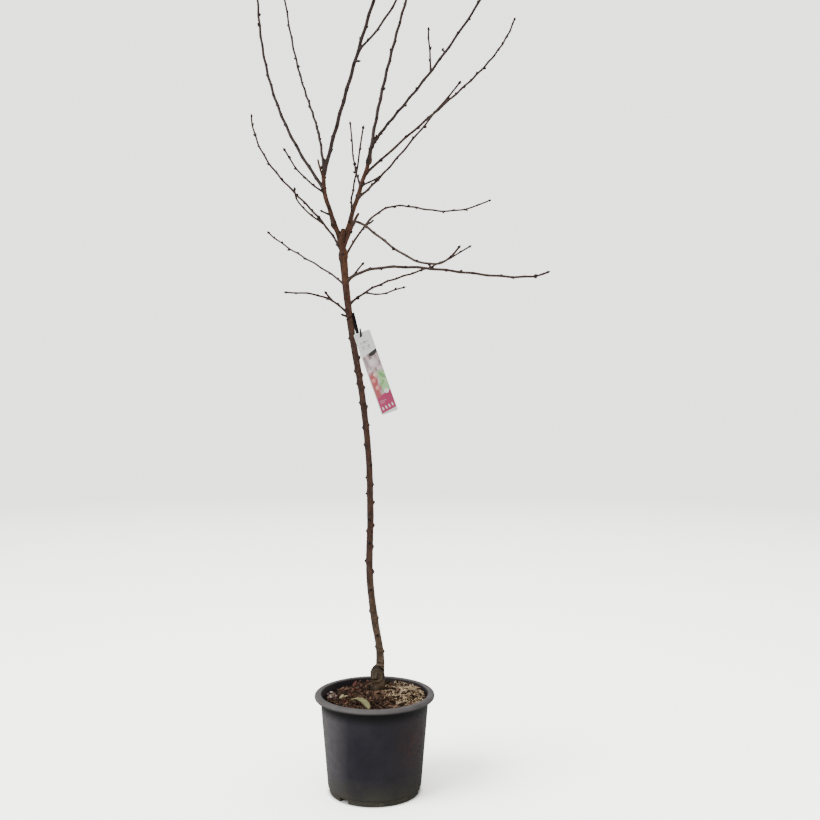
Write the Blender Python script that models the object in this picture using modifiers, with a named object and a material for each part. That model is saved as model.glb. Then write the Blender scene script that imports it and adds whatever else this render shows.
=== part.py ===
"""Young peach tree, bare for winter, in the round nursery pot it was grown in."""
import bisect
import math
import random
from dataclasses import dataclass

import bmesh
import bpy
import numpy as np
from mathutils import Matrix, Vector
from mathutils.geometry import interpolate_bezier, intersect_point_line

# Driving dimensions in metres. The origin is the middle of the pot's underside,
# +X is the viewer's right, +Y is away from the viewer and +Z is up.
GAP = 0.0003

POT_HEIGHT = 0.256
POT_RIM_RADIUS = 0.1564
POT_RIM_HEIGHT = 0.0135
POT_RIM_OVERHANG = 0.0155
POT_RIM_WIDTH = 0.0180
POT_INNER_ROLL = 0.0040
POT_WALL = 0.0030
POT_FOOT_RADIUS = 0.1168
POT_STEP_HEIGHT = 0.018
POT_STEP_RADIUS = 0.1221
POT_STEP_WIDTH = 0.0035
POT_STEP_SLOPE = 0.0020
POT_FLOOR = 0.0145
POT_CHANNEL = (0.055, 0.108)
POT_CHANNEL_DEPTH = 0.0115
POT_CHANNEL_DRAFT = 0.001
NOTCH_WIDTH = 0.029
NOTCH_REACH = 0.030
NOTCH_ANGLES = (-130.0, -10.0, 110.0)
POT_SEGMENTS = 48

SOIL_LEVEL = 0.238
SOIL_RISE_TO_RIGHT = 0.004
SOIL_CROWN = 0.250
SOIL_CROWN_RADIUS = 0.058
SOIL_SLOPE_RADIUS = 0.100
SOIL_RINGS = (0.0, 0.028, 0.056, 0.084, 0.110)

# Trunk stations: height, sideways place and thickness, from the soil to the fork.
TRUNK_STATIONS = (
    (0.240, 0.006, 0.038),
    (0.265, 0.009, 0.031),
    (0.340, 0.013, 0.0200),
    (0.440, -0.002, 0.0190),
    (0.550, -0.014, 0.0180),
    (0.720, -0.012, 0.0170),
    (0.880, -0.017, 0.0160),
    (1.030, -0.033, 0.0160),
    (1.190, -0.059, 0.0170),
    (1.300, -0.073, 0.0180),
    (1.405, -0.082, 0.0205),
)
TRUNK_FOOT_DEPTH = 0.050
TRUNK_FORK_DEPTH = 0.020
TRUNK_RING_SPACING = 0.030
KNOB_CENTRE = (0.006, 0.047, 0.286)
KNOB_RADII = (0.0195, 0.0175, 0.031)
OLD_CUT_RADIUS = 0.0105
OLD_CUT_FOOT_RADIUS = 0.0126
OLD_CUT_REACH = 0.021
OLD_CUT_DIRECTION = (-0.40, -0.85, 0.34)
TRUNK_BUD_SPACING = 0.055
TRUNK_BUD_REACH = 0.006
TRUNK_BUD_WIDTH = 0.007

SADDLE_GAP = 0.0004
NODE_SPACING = 0.030

# How fast a shoot leans towards or away from the viewer near its foot and near its tip.
LEAN_AT_FOOT = 1.50
LEAN_AT_TIP = 0.45

ZIGZAG = 0.0008
BUD_TURN = 144.0
BUD_CHANCE = 0.55
BUD_REACH = (0.0035, 0.0065)
BUD_LEAN = 0.9
BUD_FREE_FOOT = 0.025
BUD_WIDTH = 0.0026
BUD_CLEARANCE = 0.0020
BUD_TAPER = 3.0

TAG_WIDTH = 0.044
TAG_LENGTH = 0.221
TAG_THICKNESS = 0.0008
TAG_CORNER = 0.004
TAG_TILT = 19.5
TAG_DEPTH = 0.0115
TAG_TOP = 0.0466
TAG_ASIDE = 0.0055
SLOT_DROP = 0.0592
SLOT_SIZE = (0.0075, 0.0028)
SLOT_CORNER = 0.0012
STRAP_HANG = (-0.0545, 0.0205, 1.236)
STRAP_LOOP_HEIGHT = 1.231
STRAP_LOOP_RADIUS = 0.0105
STRAP_LOOP_TILT = 25.0
STRAP_WIDTH = 0.0042
STRAP_THICKNESS = 0.0008
STRAP_LOOP_WIDTH = 0.0029
STRAP_LOOP_STEPS = 20

# Strap from its hang point down: drop along the label, and depth towards the viewer,
# counted from the strap's plane for the first two and from the label for the others.
STRAP_TOP = ((-0.0010, 0.0000), (0.0200, 0.0015))
STRAP_BEHIND = ((-0.0132, -0.0034), (-0.0020, -0.0017))
STRAP_BEFORE = ((-0.0020, 0.0017), (-0.0090, 0.0022), (-0.0195, 0.0014))


@dataclass(frozen=True)
class Shoot:
    """One stem: where it leaves its parent, where it ends, and how it bends between.

    share is how far along the parent it sets off, and tip is in metres. sets_off and
    arrives are directions in degrees from +X towards +Z, reach is how strongly each
    end holds its direction, and thickness is at the foot and at the tip.
    """

    name: str
    parent: str
    share: float
    tip: tuple
    sets_off: float
    arrives: float
    thickness: tuple
    reach: tuple = (0.33, 0.33)
    clear_of: tuple = ()


# Limbs are two or three years old and carry the long shoots of last summer.
LIMBS = (
    Shoot("left_limb", "trunk", 0.985, (-0.129, -0.01, 1.602), 96, 84, (0.0132, 0.0098)),
    Shoot("right_limb", "trunk", 0.985, (-0.012, 0.03, 1.648), 110, 75, (0.0136, 0.0098),
          (0.12, 0.36), clear_of=("left_limb", "leader_stub")),
    Shoot("arch_stem", "right_limb", 0.05, (-0.038, -0.02, 1.497), 68, 60, (0.0076, 0.0062),
          clear_of=("trunk", "left_limb", "leader_stub")),
)

# Long shoots, each a mass of its own that carries its buds and side twigs.
SHOOTS = (
    Shoot("low_left_shoot", "trunk", 0.858, (-0.228, -0.05, 1.292), 134, 178, (0.0046, 0.0030),
          (0.42, 0.36)),
    Shoot("low_right_shoot", "trunk", 0.879, (0.262, 0.18, 1.439), 45, 34, (0.0048, 0.0032),
          (0.34, 0.46)),
    Shoot("mid_left_shoot", "trunk", 0.922, (-0.295, 0.14, 1.472), 137, 137, (0.0040, 0.0028)),
    Shoot("long_right_shoot", "trunk", 0.930, (0.438, -0.12, 1.338), 45, 30, (0.0066, 0.0038),
          (0.25, 0.20)),
    Shoot("upper_right_shoot", "trunk", 0.980, (0.319, 0.22, 1.570), 66, 27, (0.0048, 0.0032),
          (0.67, 0.51), clear_of=("right_limb",)),
    Shoot("outer_left_shoot", "left_limb", 0.02, (-0.330, 0.10, 1.778), 112, 94, (0.0052, 0.0032),
          (0.35, 0.38), clear_of=("trunk", "right_limb")),
    Shoot("arching_shoot", "arch_stem", 0.69, (0.211, -0.25, 1.386), 74, 59, (0.0058, 0.0036),
          (0.14, 0.44)),
    Shoot("left_outer_leader", "left_limb", 0.80, (-0.318, 0.12, 2.300), 126, 91, (0.0072, 0.0038),
          (0.42, 0.36)),
    Shoot("left_back_leader", "left_limb", 0.93, (-0.282, 0.26, 2.342), 94, 96, (0.0060, 0.0035),
          (0.31, 0.71)),
    Shoot("left_main_leader", "left_limb", 0.97, (0.164, -0.20, 2.440), 73, 70, (0.0090, 0.0044),
          clear_of=("left_back_leader",)),
    Shoot("left_short_shoot", "left_limb", 0.76, (-0.224, -0.08, 1.649), 154, 118, (0.0038, 0.0030)),
    Shoot("right_main_leader", "right_limb", 0.97, (0.170, 0.25, 2.430), 83, 75, (0.0084, 0.0042)),
    Shoot("right_front_leader", "right_limb", 0.93, (0.425, -0.24, 2.252), 88, 62, (0.0074, 0.0038),
          (0.12, 0.74), clear_of=("right_main_leader",)),
    Shoot("right_outer_leader", "right_limb", 0.83, (0.377, 0.15, 2.048), 45, 70, (0.0056, 0.0036),
          (0.60, 0.24)),
    Shoot("right_mid_shoot", "right_limb", 0.59, (0.218, -0.12, 1.803), 32, 49, (0.0054, 0.0034),
          (0.17, 0.60)),
    Shoot("inner_back_shoot", "right_limb", 0.70, (-0.069, 0.13, 1.765), 107, 95, (0.0042, 0.0030),
          (0.21, 0.70)),
    Shoot("inner_front_shoot", "right_limb", 0.45, (-0.021, -0.13, 1.693), 108, 81, (0.0040, 0.0030),
          (0.12, 0.70)),
)

# Side twigs and short pruned stubs, each fused to the stem that it grows on.
TWIGS = (
    Shoot("trunk_bud_twig", "trunk", 0.853, (-0.089, 0.02, 1.241), 168, 162, (0.0036, 0.0028)),
    Shoot("low_left_spur", "low_left_shoot", 0.31, (-0.128, -0.01, 1.299), 118, 112, (0.0038, 0.0036)),
    Shoot("low_right_twig", "low_right_shoot", 0.16, (0.082, 0.00, 1.310), -22, 14, (0.0034, 0.0026)),
    Shoot("long_right_twig", "long_right_shoot", 0.05, (-0.025, 0.00, 1.374), 62, 54, (0.0036, 0.0032)),
    Shoot("upper_right_spur", "upper_right_shoot", 0.24, (-0.002, 0.05, 1.489), 10, 20,
          (0.0028, 0.0034)),
    Shoot("outer_left_twig", "outer_left_shoot", 0.22, (-0.203, -0.02, 1.563), 152, 88,
          (0.0036, 0.0030)),
    Shoot("leader_stub", "left_limb", 0.12, (-0.0800, 0.004, 1.460), 88, 84, (0.0115, 0.0105)),
    Shoot("left_limb_spur", "left_limb", 0.50, (-0.140, -0.01, 1.505), 160, 150, (0.0030, 0.0034)),
    Shoot("left_limb_stub", "left_limb", 0.90, (-0.143, -0.02, 1.634), 112, 104, (0.0046, 0.0050)),
    Shoot("main_leader_twig", "left_main_leader", 0.345, (0.152, -0.25, 2.170), 34, 68,
          (0.0046, 0.0034)),
    Shoot("main_leader_spur", "left_main_leader", 0.315, (-0.028, -0.10, 1.856), 0, 16,
          (0.0030, 0.0034)),
    Shoot("right_leader_twig", "right_main_leader", 0.62, (0.062, 0.19, 2.260), 128, 96,
          (0.0040, 0.0030)),
    Shoot("front_leader_twig", "right_front_leader", 0.36, (0.138, -0.10, 1.940), 92, 90,
          (0.0034, 0.0028)),
    Shoot("front_leader_spur", "right_front_leader", 0.43, (0.171, -0.11, 1.884), 112, 100,
          (0.0030, 0.0034)),
    Shoot("right_limb_spur", "right_limb", 0.71, (0.020, -0.03, 1.590), 14, 28, (0.0038, 0.0036)),
)

BARK = (0.055, 0.022, 0.012)
YOUNG_BARK = (0.045, 0.018, 0.010)


def remove_everything():
    for thing in list(bpy.context.scene.objects):
        bpy.data.objects.remove(thing)


def new_collection(name):
    collection = bpy.data.collections.new(name)
    bpy.context.scene.collection.children.link(collection)
    return collection


def material(name, colour, roughness, metallic=0.0):
    finish = bpy.data.materials.new(name)
    finish.use_nodes = True
    shader = finish.node_tree.nodes["Principled BSDF"]
    shader.inputs["Base Color"].default_value = (*colour, 1.0)
    shader.inputs["Roughness"].default_value = roughness
    shader.inputs["Metallic"].default_value = metallic
    return finish


def add_object(name, data, collection):
    thing = bpy.data.objects.new(name, data)
    collection.objects.link(thing)
    return thing


def solid_from(thing):
    """Replaces an object by a plain mesh object of its evaluated shape, caps welded."""
    name = thing.name
    collection = thing.users_collection[0]
    depsgraph = bpy.context.evaluated_depsgraph_get()
    mesh = bpy.data.meshes.new_from_object(thing.evaluated_get(depsgraph))
    matrix = thing.matrix_world.copy()
    bpy.data.objects.remove(thing)
    weld(mesh)
    solid = add_object(name, mesh, collection)
    solid.matrix_world = matrix
    return solid


def weld(mesh):
    cage = bmesh.new()
    cage.from_mesh(mesh)
    bmesh.ops.remove_doubles(cage, verts=cage.verts, dist=0.00001)
    bmesh.ops.dissolve_degenerate(cage, edges=cage.edges, dist=0.00001)
    cage.to_mesh(mesh)
    cage.free()


def keep_largest_part(mesh):
    """Drops the loose scraps that a cut leaves inside the parent stem."""
    cage = bmesh.new()
    cage.from_mesh(mesh)
    unseen = set(cage.verts)
    parts = []
    while unseen:
        front = [unseen.pop()]
        part = set(front)
        while front:
            for edge in front.pop().link_edges:
                for vert in edge.verts:
                    if vert in unseen:
                        unseen.remove(vert)
                        part.add(vert)
                        front.append(vert)
        parts.append(part)
    parts.sort(key=len)
    scraps = [vert for part in parts[:-1] for vert in part]
    bmesh.ops.delete(cage, geom=scraps, context="VERTS")
    cage.to_mesh(mesh)
    cage.free()


def combine(piece, operation, other):
    """Applies one Boolean of an object, or of every object in a collection."""
    modifier = piece.modifiers.new("combine", "BOOLEAN")
    modifier.operation = operation
    modifier.solver = "EXACT"
    if isinstance(other, bpy.types.Collection):
        modifier.operand_type = "COLLECTION"
        modifier.collection = other
    else:
        modifier.object = other
    depsgraph = bpy.context.evaluated_depsgraph_get()
    mesh = bpy.data.meshes.new_from_object(piece.evaluated_get(depsgraph))
    piece.modifiers.clear()
    piece.data = mesh
    weld(mesh)


def fuse(piece, extras, collection):
    """Joins extra solids to a piece with one union on the collection that holds them."""
    if not extras:
        return
    combine(piece, "UNION", collection)
    for extra in extras:
        bpy.data.objects.remove(extra)
    keep_largest_part(piece.data)


def finish_piece(piece, finish, smooth=True):
    piece.data.materials.clear()
    piece.data.materials.append(finish)
    if smooth:
        piece.data.shade_smooth()
        piece.data.set_sharp_from_angle(angle=math.radians(40.0))


def as_guide(thing):
    thing.hide_render = True
    thing.display_type = "WIRE"


def primitive(name, collection, build):
    """Object from one bmesh primitive, made by the given function."""
    cage = bmesh.new()
    build(cage)
    mesh = bpy.data.meshes.new(name)
    cage.to_mesh(mesh)
    cage.free()
    return add_object(name, mesh, collection)


def turned(name, profile, collection):
    """Solid of revolution about Z from a profile of (radius, height) points."""
    mesh = bpy.data.meshes.new(name)
    points = [(radius, 0.0, height) for radius, height in profile]
    edges = [(index, index + 1) for index in range(len(points) - 1)]
    mesh.from_pydata(points, edges, [])
    piece = add_object(name, mesh, collection)
    screw = piece.modifiers.new("turn", "SCREW")
    screw.axis = "Z"
    screw.steps = POT_SEGMENTS
    screw.render_steps = POT_SEGMENTS
    screw.use_merge_vertices = True
    screw.merge_threshold = 0.00005
    return solid_from(piece)


# Pot

def body_radius(height):
    """Outer radius of the pot's wall, which narrows evenly from rim to step."""
    top = POT_HEIGHT - POT_RIM_HEIGHT
    top_radius = POT_RIM_RADIUS - POT_RIM_OVERHANG
    share = (height - POT_STEP_HEIGHT) / (top - POT_STEP_HEIGHT)
    return POT_STEP_RADIUS + (top_radius - POT_STEP_RADIUS) * share


def rim_profile():
    """Rolled rim, from its inner edge over the top to the body just under it."""
    outer_roll = POT_RIM_HEIGHT / 2
    inner = POT_RIM_RADIUS - POT_RIM_WIDTH
    points = []
    for degrees in (180, 135, 90):
        angle = math.radians(degrees)
        points.append((inner + POT_INNER_ROLL + POT_INNER_ROLL * math.cos(angle),
                       POT_HEIGHT - POT_INNER_ROLL + POT_INNER_ROLL * math.sin(angle)))
    for degrees in (90, 54, 18, -18, -54, -90):
        angle = math.radians(degrees)
        points.append((POT_RIM_RADIUS - outer_roll + outer_roll * math.cos(angle),
                       POT_HEIGHT - outer_roll + outer_roll * math.sin(angle)))
    points.append((body_radius(POT_HEIGHT - POT_RIM_HEIGHT), POT_HEIGHT - POT_RIM_HEIGHT))
    return points


def pot_profile():
    channel_start, channel_end = POT_CHANNEL
    return (
        [(0.0, POT_FLOOR), (body_radius(POT_FLOOR) - POT_WALL - POT_STEP_WIDTH, POT_FLOOR)]
        + rim_profile()
        + [
            (POT_STEP_RADIUS, POT_STEP_HEIGHT),
            (POT_STEP_RADIUS - POT_STEP_WIDTH, POT_STEP_HEIGHT - POT_STEP_SLOPE),
            (POT_FOOT_RADIUS, 0.0),
            (channel_end, 0.0),
            (channel_end - POT_CHANNEL_DRAFT, POT_CHANNEL_DEPTH),
            (channel_start + POT_CHANNEL_DRAFT, POT_CHANNEL_DEPTH),
            (channel_start, 0.0),
            (0.0, 0.0),
        ]
    )


def build_pot(parts, cutters):
    pot = turned("pot", pot_profile(), parts)
    for angle in NOTCH_ANGLES:
        turn = Matrix.Rotation(math.radians(angle), 4, "Z")
        place = turn @ Matrix.Translation((POT_FOOT_RADIUS, 0.0, 0.0))
        size = Matrix.Diagonal((NOTCH_REACH, NOTCH_WIDTH, 2 * POT_CHANNEL_DEPTH, 1.0))
        notch = primitive("notch", cutters,
                          lambda cage: bmesh.ops.create_cube(cage, size=1.0, matrix=place @ size))
        as_guide(notch)
        combine(pot, "DIFFERENCE", notch)
    finish_piece(pot, material("pot plastic", (0.075, 0.073, 0.083), 0.55))
    return pot


# Soil

def soil_height(x, y):
    """Height of the soil: a little higher to the right, with a low flat crown at the trunk."""
    plain = SOIL_LEVEL + SOIL_RISE_TO_RIGHT * x / POT_RIM_RADIUS
    foot_x, foot_y = TRUNK_STATIONS[0][1], TRUNK_FOOT_DEPTH
    distance = math.hypot(x - foot_x, y - foot_y)
    share = (SOIL_SLOPE_RADIUS - distance) / (SOIL_SLOPE_RADIUS - SOIL_CROWN_RADIUS)
    share = min(max(share, 0.0), 1.0)
    smooth = share * share * (3.0 - 2.0 * share)
    return plain + (SOIL_CROWN - plain) * smooth


def build_soil(parts):
    inner_bottom = body_radius(POT_FLOOR) - POT_WALL - POT_STEP_WIDTH - GAP
    inner_top = POT_RIM_RADIUS - POT_RIM_WIDTH - GAP
    wall_foot = POT_FLOOR + GAP
    share = (SOIL_LEVEL - POT_FLOOR) / (POT_HEIGHT - POT_INNER_ROLL - POT_FLOOR)
    edge = inner_bottom + (inner_top - inner_bottom) * share - 2 * GAP
    profile = [(radius, SOIL_LEVEL) for radius in SOIL_RINGS]
    profile += [(edge, SOIL_LEVEL), (inner_bottom, wall_foot), (0.0, wall_foot)]
    soil = turned("potting_soil", profile, parts)
    for vert in soil.data.vertices:
        if vert.co.z > POT_HEIGHT / 2:
            vert.co.z = soil_height(vert.co.x, vert.co.y)
    finish_piece(soil, material("potting soil", (0.050, 0.028, 0.018), 0.95))
    return soil


# Wood

def smooth_through(stations, column, height):
    """Value of one column of the stations at a height, on a smooth line through them."""
    heights = [station[0] for station in stations]
    values = [station[column] for station in stations]
    slopes = np.gradient(values, heights)
    index = min(max(bisect.bisect(heights, height) - 1, 0), len(heights) - 2)
    span = heights[index + 1] - heights[index]
    t = (height - heights[index]) / span
    return float(
        (1 + 2 * t) * (1 - t) ** 2 * values[index]
        + t * (1 - t) ** 2 * span * slopes[index]
        + t * t * (3 - 2 * t) * values[index + 1]
        + t * t * (t - 1) * span * slopes[index + 1]
    )


def trunk_point(height):
    share = (height - TRUNK_STATIONS[0][0]) / (TRUNK_STATIONS[-1][0] - TRUNK_STATIONS[0][0])
    depth = TRUNK_FOOT_DEPTH + (TRUNK_FORK_DEPTH - TRUNK_FOOT_DEPTH) * share
    return Vector((smooth_through(TRUNK_STATIONS, 1, height), depth, height))


def trunk_line():
    """Centreline points and thicknesses of the trunk, denser in the flare."""
    bottom, top = TRUNK_STATIONS[0][0], TRUNK_STATIONS[-1][0]
    count = round((top - bottom) / TRUNK_RING_SPACING)
    heights = [bottom + (top - bottom) * index / count for index in range(count + 1)]
    points = [trunk_point(height) for height in heights]
    widths = [smooth_through(TRUNK_STATIONS, 2, height) for height in heights]
    return points, widths


def flat_direction(degrees):
    angle = math.radians(degrees)
    return Vector((math.cos(angle), 0.0, math.sin(angle)))


def place_on(line, share):
    """Point at a share of the way along a line of points."""
    points, widths = line
    steps = [(b - a).length for a, b in zip(points, points[1:])]
    goal = share * sum(steps)
    for index, step in enumerate(steps):
        if goal <= step or index == len(steps) - 1:
            return points[index].lerp(points[index + 1], min(goal / step, 1.0))
        goal -= step


def shoot_line(shoot, lines):
    """Centreline points and thicknesses of a shoot, one ring at each node of its wood."""
    foot = place_on(lines[shoot.parent], shoot.share)
    tip = Vector(shoot.tip)
    chord = (tip - foot).length
    lean = tip.y - foot.y
    first = foot + flat_direction(shoot.sets_off) * shoot.reach[0] * chord
    last = tip - flat_direction(shoot.arrives) * shoot.reach[1] * chord
    first.y = foot.y + shoot.reach[0] * LEAN_AT_FOOT * lean
    last.y = tip.y - shoot.reach[1] * LEAN_AT_TIP * lean
    count = max(3, round(chord / NODE_SPACING) + 1)
    points = interpolate_bezier(foot, first, last, tip, count)
    widths = []
    for index, point in enumerate(points):
        share = index / (count - 1)
        widths.append(shoot.thickness[0] + (shoot.thickness[1] - shoot.thickness[0]) * share)
        if 1 < index < count - 1:
            along = (points[index + 1] - points[index - 1]).normalized()
            side = along.cross(Vector((0.0, 1.0, 0.0))).normalized()
            point += side * ZIGZAG * (1 if index % 2 else -1)
    return points, widths


def tube(name, line, level, collection, spare=0.0):
    """Tube with a flat cap at each end. spare makes it that much fatter all round."""
    points, widths = line
    curve = bpy.data.curves.new(name, "CURVE")
    curve.dimensions = "3D"
    curve.bevel_depth = 0.001
    curve.bevel_resolution = level
    curve.use_fill_caps = True
    spline = curve.splines.new("POLY")
    spline.points.add(len(points) - 1)
    for knot, point, width in zip(spline.points, points, widths):
        knot.co = (*point, 1.0)
        knot.radius = (width / 2 + spare) / curve.bevel_depth
    return solid_from(add_object(name, curve, collection))


def bud(name, base, direction, reach, width, collection):
    """Small four-sided cone that starts on the stem's centreline."""
    turn = direction.to_track_quat("Z", "Y").to_matrix().to_4x4()
    place = Matrix.Translation(base + direction * reach / 2) @ turn
    return primitive(name, collection, lambda cage: bmesh.ops.create_cone(
        cage, cap_ends=True, segments=4, radius1=width / 2, radius2=width / 2 / BUD_TAPER,
        depth=reach, matrix=place))


def distance_to_line(point, line):
    """Distance from a point to the surface round a centreline, below zero inside it."""
    points, widths = line
    nearest = math.inf
    for a, b, width in zip(points, points[1:], widths):
        share = intersect_point_line(point, a, b)[1]
        foot = a.lerp(b, min(max(share, 0.0), 1.0))
        nearest = min(nearest, (point - foot).length - width / 2)
    return nearest


def buds_on(name, lines, neighbours, collection):
    """Buds by rule: a fixed turn from node to node, with some nodes bare."""
    points, widths = lines[name]
    rng = random.Random(name)
    made = []
    travelled = 0.0
    for index in range(1, len(points) - 1):
        travelled += (points[index] - points[index - 1]).length
        grows = rng.random() < BUD_CHANCE
        reach = rng.uniform(*BUD_REACH) + widths[index] / 2
        if travelled < BUD_FREE_FOOT or not grows:
            continue
        along = (points[index + 1] - points[index - 1]).normalized()
        around = Matrix.Rotation(math.radians(BUD_TURN * index), 3, along)
        out = around @ along.orthogonal().normalized()
        direction = (out + along * BUD_LEAN).normalized()
        tip = points[index] + direction * reach
        if min(distance_to_line(tip, lines[other]) for other in neighbours) > BUD_CLEARANCE:
            made.append(bud(name + "_bud", points[index], direction, reach, BUD_WIDTH, collection))
    return made


def build_trunk(parts, scratch, lines):
    trunk = tube("trunk", lines["trunk"], 2, parts)
    extras = [
        primitive("graft_knob", scratch, lambda cage: bmesh.ops.create_uvsphere(
            cage, u_segments=12, v_segments=8, radius=1.0,
            matrix=Matrix.Translation(KNOB_CENTRE) @ Matrix.Diagonal((*KNOB_RADII, 1.0))))
    ]
    old_cut = Vector(OLD_CUT_DIRECTION).normalized()
    turn = old_cut.to_track_quat("Z", "Y").to_matrix().to_4x4()
    place = Matrix.Translation(Vector(KNOB_CENTRE) + old_cut * OLD_CUT_REACH / 2) @ turn
    extras.append(primitive("old_cut", scratch, lambda cage: bmesh.ops.create_cone(
        cage, cap_ends=True, segments=10, radius1=OLD_CUT_FOOT_RADIUS, radius2=OLD_CUT_RADIUS,
        depth=OLD_CUT_REACH, matrix=place)))
    bottom, top = TRUNK_STATIONS[2][0], TRUNK_STATIONS[-3][0]
    for index in range(1, int((top - bottom) / TRUNK_BUD_SPACING)):
        height = bottom + index * TRUNK_BUD_SPACING
        out = Vector((-1.0 if index % 2 else 1.0, 0.25, 0.55)).normalized()
        reach = TRUNK_BUD_REACH + smooth_through(TRUNK_STATIONS, 2, height) / 2
        extras.append(bud("trunk_bud", trunk_point(height), out, reach, TRUNK_BUD_WIDTH, scratch))
    for twig in TWIGS:
        if twig.parent == "trunk":
            extras.append(tube(twig.name, lines[twig.name], 1, scratch))
    fuse(trunk, extras, scratch)
    cut_flat(trunk.data, SOIL_CROWN + GAP)
    finish_piece(trunk, material("trunk bark", BARK, 0.8))
    return trunk


def cut_flat(mesh, height):
    """Cuts a solid level at a height and closes it with one flat face."""
    cage = bmesh.new()
    cage.from_mesh(mesh)
    geometry = cage.verts[:] + cage.edges[:] + cage.faces[:]
    result = bmesh.ops.bisect_plane(
        cage, geom=geometry, plane_co=(0.0, 0.0, height), plane_no=(0.0, 0.0, 1.0),
        clear_inner=True)
    rim = [item for item in result["geom_cut"] if isinstance(item, bmesh.types.BMEdge)]
    bmesh.ops.contextual_create(cage, geom=rim)
    cage.to_mesh(mesh)
    cage.free()


def build_stem(shoot, level, parts, scratch, guides, lines, fat):
    """One limb or shoot: saddled on its parent, with its twigs and buds fused on."""
    stem = tube(shoot.name, lines[shoot.name], level, parts)
    for neighbour in (shoot.parent, *shoot.clear_of):
        if neighbour not in fat:
            fat[neighbour] = tube(neighbour + "_guide", lines[neighbour], 2, guides, SADDLE_GAP)
            as_guide(fat[neighbour])
        combine(stem, "DIFFERENCE", fat[neighbour])
    keep_largest_part(stem.data)
    twigs = [twig.name for twig in TWIGS if twig.parent == shoot.name]
    neighbours = [name for name in lines if name != shoot.name and name not in twigs]
    extras = buds_on(shoot.name, lines, neighbours, scratch)
    for twig in twigs:
        extras.append(tube(twig, lines[twig], 1, scratch))
        extras += buds_on(twig, lines, neighbours, scratch)
    fuse(stem, extras, scratch)
    finish_piece(stem, material(shoot.name + " bark", BARK if level == 2 else YOUNG_BARK, 0.7))
    return stem


def build_tree(parts, scratch, guides):
    lines = {"trunk": trunk_line()}
    for shoot in (*LIMBS, *SHOOTS, *TWIGS):
        lines[shoot.name] = shoot_line(shoot, lines)
    fat = {}
    build_trunk(parts, scratch, lines)
    for shoot in LIMBS:
        build_stem(shoot, 2, parts, scratch, guides, lines, fat)
    for shoot in SHOOTS:
        build_stem(shoot, 1, parts, scratch, guides, lines, fat)


# Label

def flat_outline(name, outlines, thickness, collection):
    """Flat plate from closed outlines in its own XY plane. Later outlines are holes."""
    curve = bpy.data.curves.new(name, "CURVE")
    curve.dimensions = "2D"
    curve.fill_mode = "BOTH"
    curve.extrude = thickness / 2
    for outline in outlines:
        spline = curve.splines.new("POLY")
        spline.points.add(len(outline) - 1)
        spline.use_cyclic_u = True
        for knot, (x, y) in zip(spline.points, outline):
            knot.co = (x, y, 0.0, 1.0)
    return add_object(name, curve, collection)


def ribbon(name, points, width, cyclic, collection):
    """Thin band that follows points in its own XY plane and is as wide along its Z."""
    curve = bpy.data.curves.new(name, "CURVE")
    curve.dimensions = "2D"
    curve.fill_mode = "NONE"
    curve.extrude = width / 2
    spline = curve.splines.new("POLY")
    spline.points.add(len(points) - 1)
    spline.use_cyclic_u = cyclic
    for knot, (x, y) in zip(spline.points, points):
        knot.co = (x, y, 0.0, 1.0)
    return add_object(name, curve, collection)


def rounded_rectangle(width, height, centre, corner):
    outline = []
    for side_x, side_y, start in ((1, 1, 0), (-1, 1, 90), (-1, -1, 180), (1, -1, 270)):
        for degrees in range(start, start + 91, 30):
            angle = math.radians(degrees)
            outline.append((centre[0] + side_x * (width / 2 - corner) + corner * math.cos(angle),
                            centre[1] + side_y * (height / 2 - corner) + corner * math.sin(angle)))
    return outline


def hang_frame():
    """Frame of the hanging label: its -Y runs down the label and its +Z faces the viewer."""
    upright = Matrix.Rotation(math.radians(90.0), 4, "X")
    tilt = Matrix.Rotation(math.radians(-TAG_TILT), 4, "Y")
    return Matrix.Translation(STRAP_HANG) @ tilt @ upright


def build_tag(parts):
    tag_centre = (TAG_ASIDE, -TAG_TOP - TAG_LENGTH / 2)
    plate = rounded_rectangle(TAG_WIDTH, TAG_LENGTH, tag_centre, TAG_CORNER)
    slot = rounded_rectangle(*SLOT_SIZE, (0.0, -SLOT_DROP), SLOT_CORNER)
    tag = flat_outline("label_tag", (plate, slot), TAG_THICKNESS, parts)
    tag.matrix_world = hang_frame() @ Matrix.Translation((0.0, 0.0, STRAP_HANG[1] - TAG_DEPTH))
    bpy.context.view_layer.update()
    tag = solid_from(tag)
    finish_piece(tag, material("label film", (0.80, 0.80, 0.80), 0.4), smooth=False)


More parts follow.
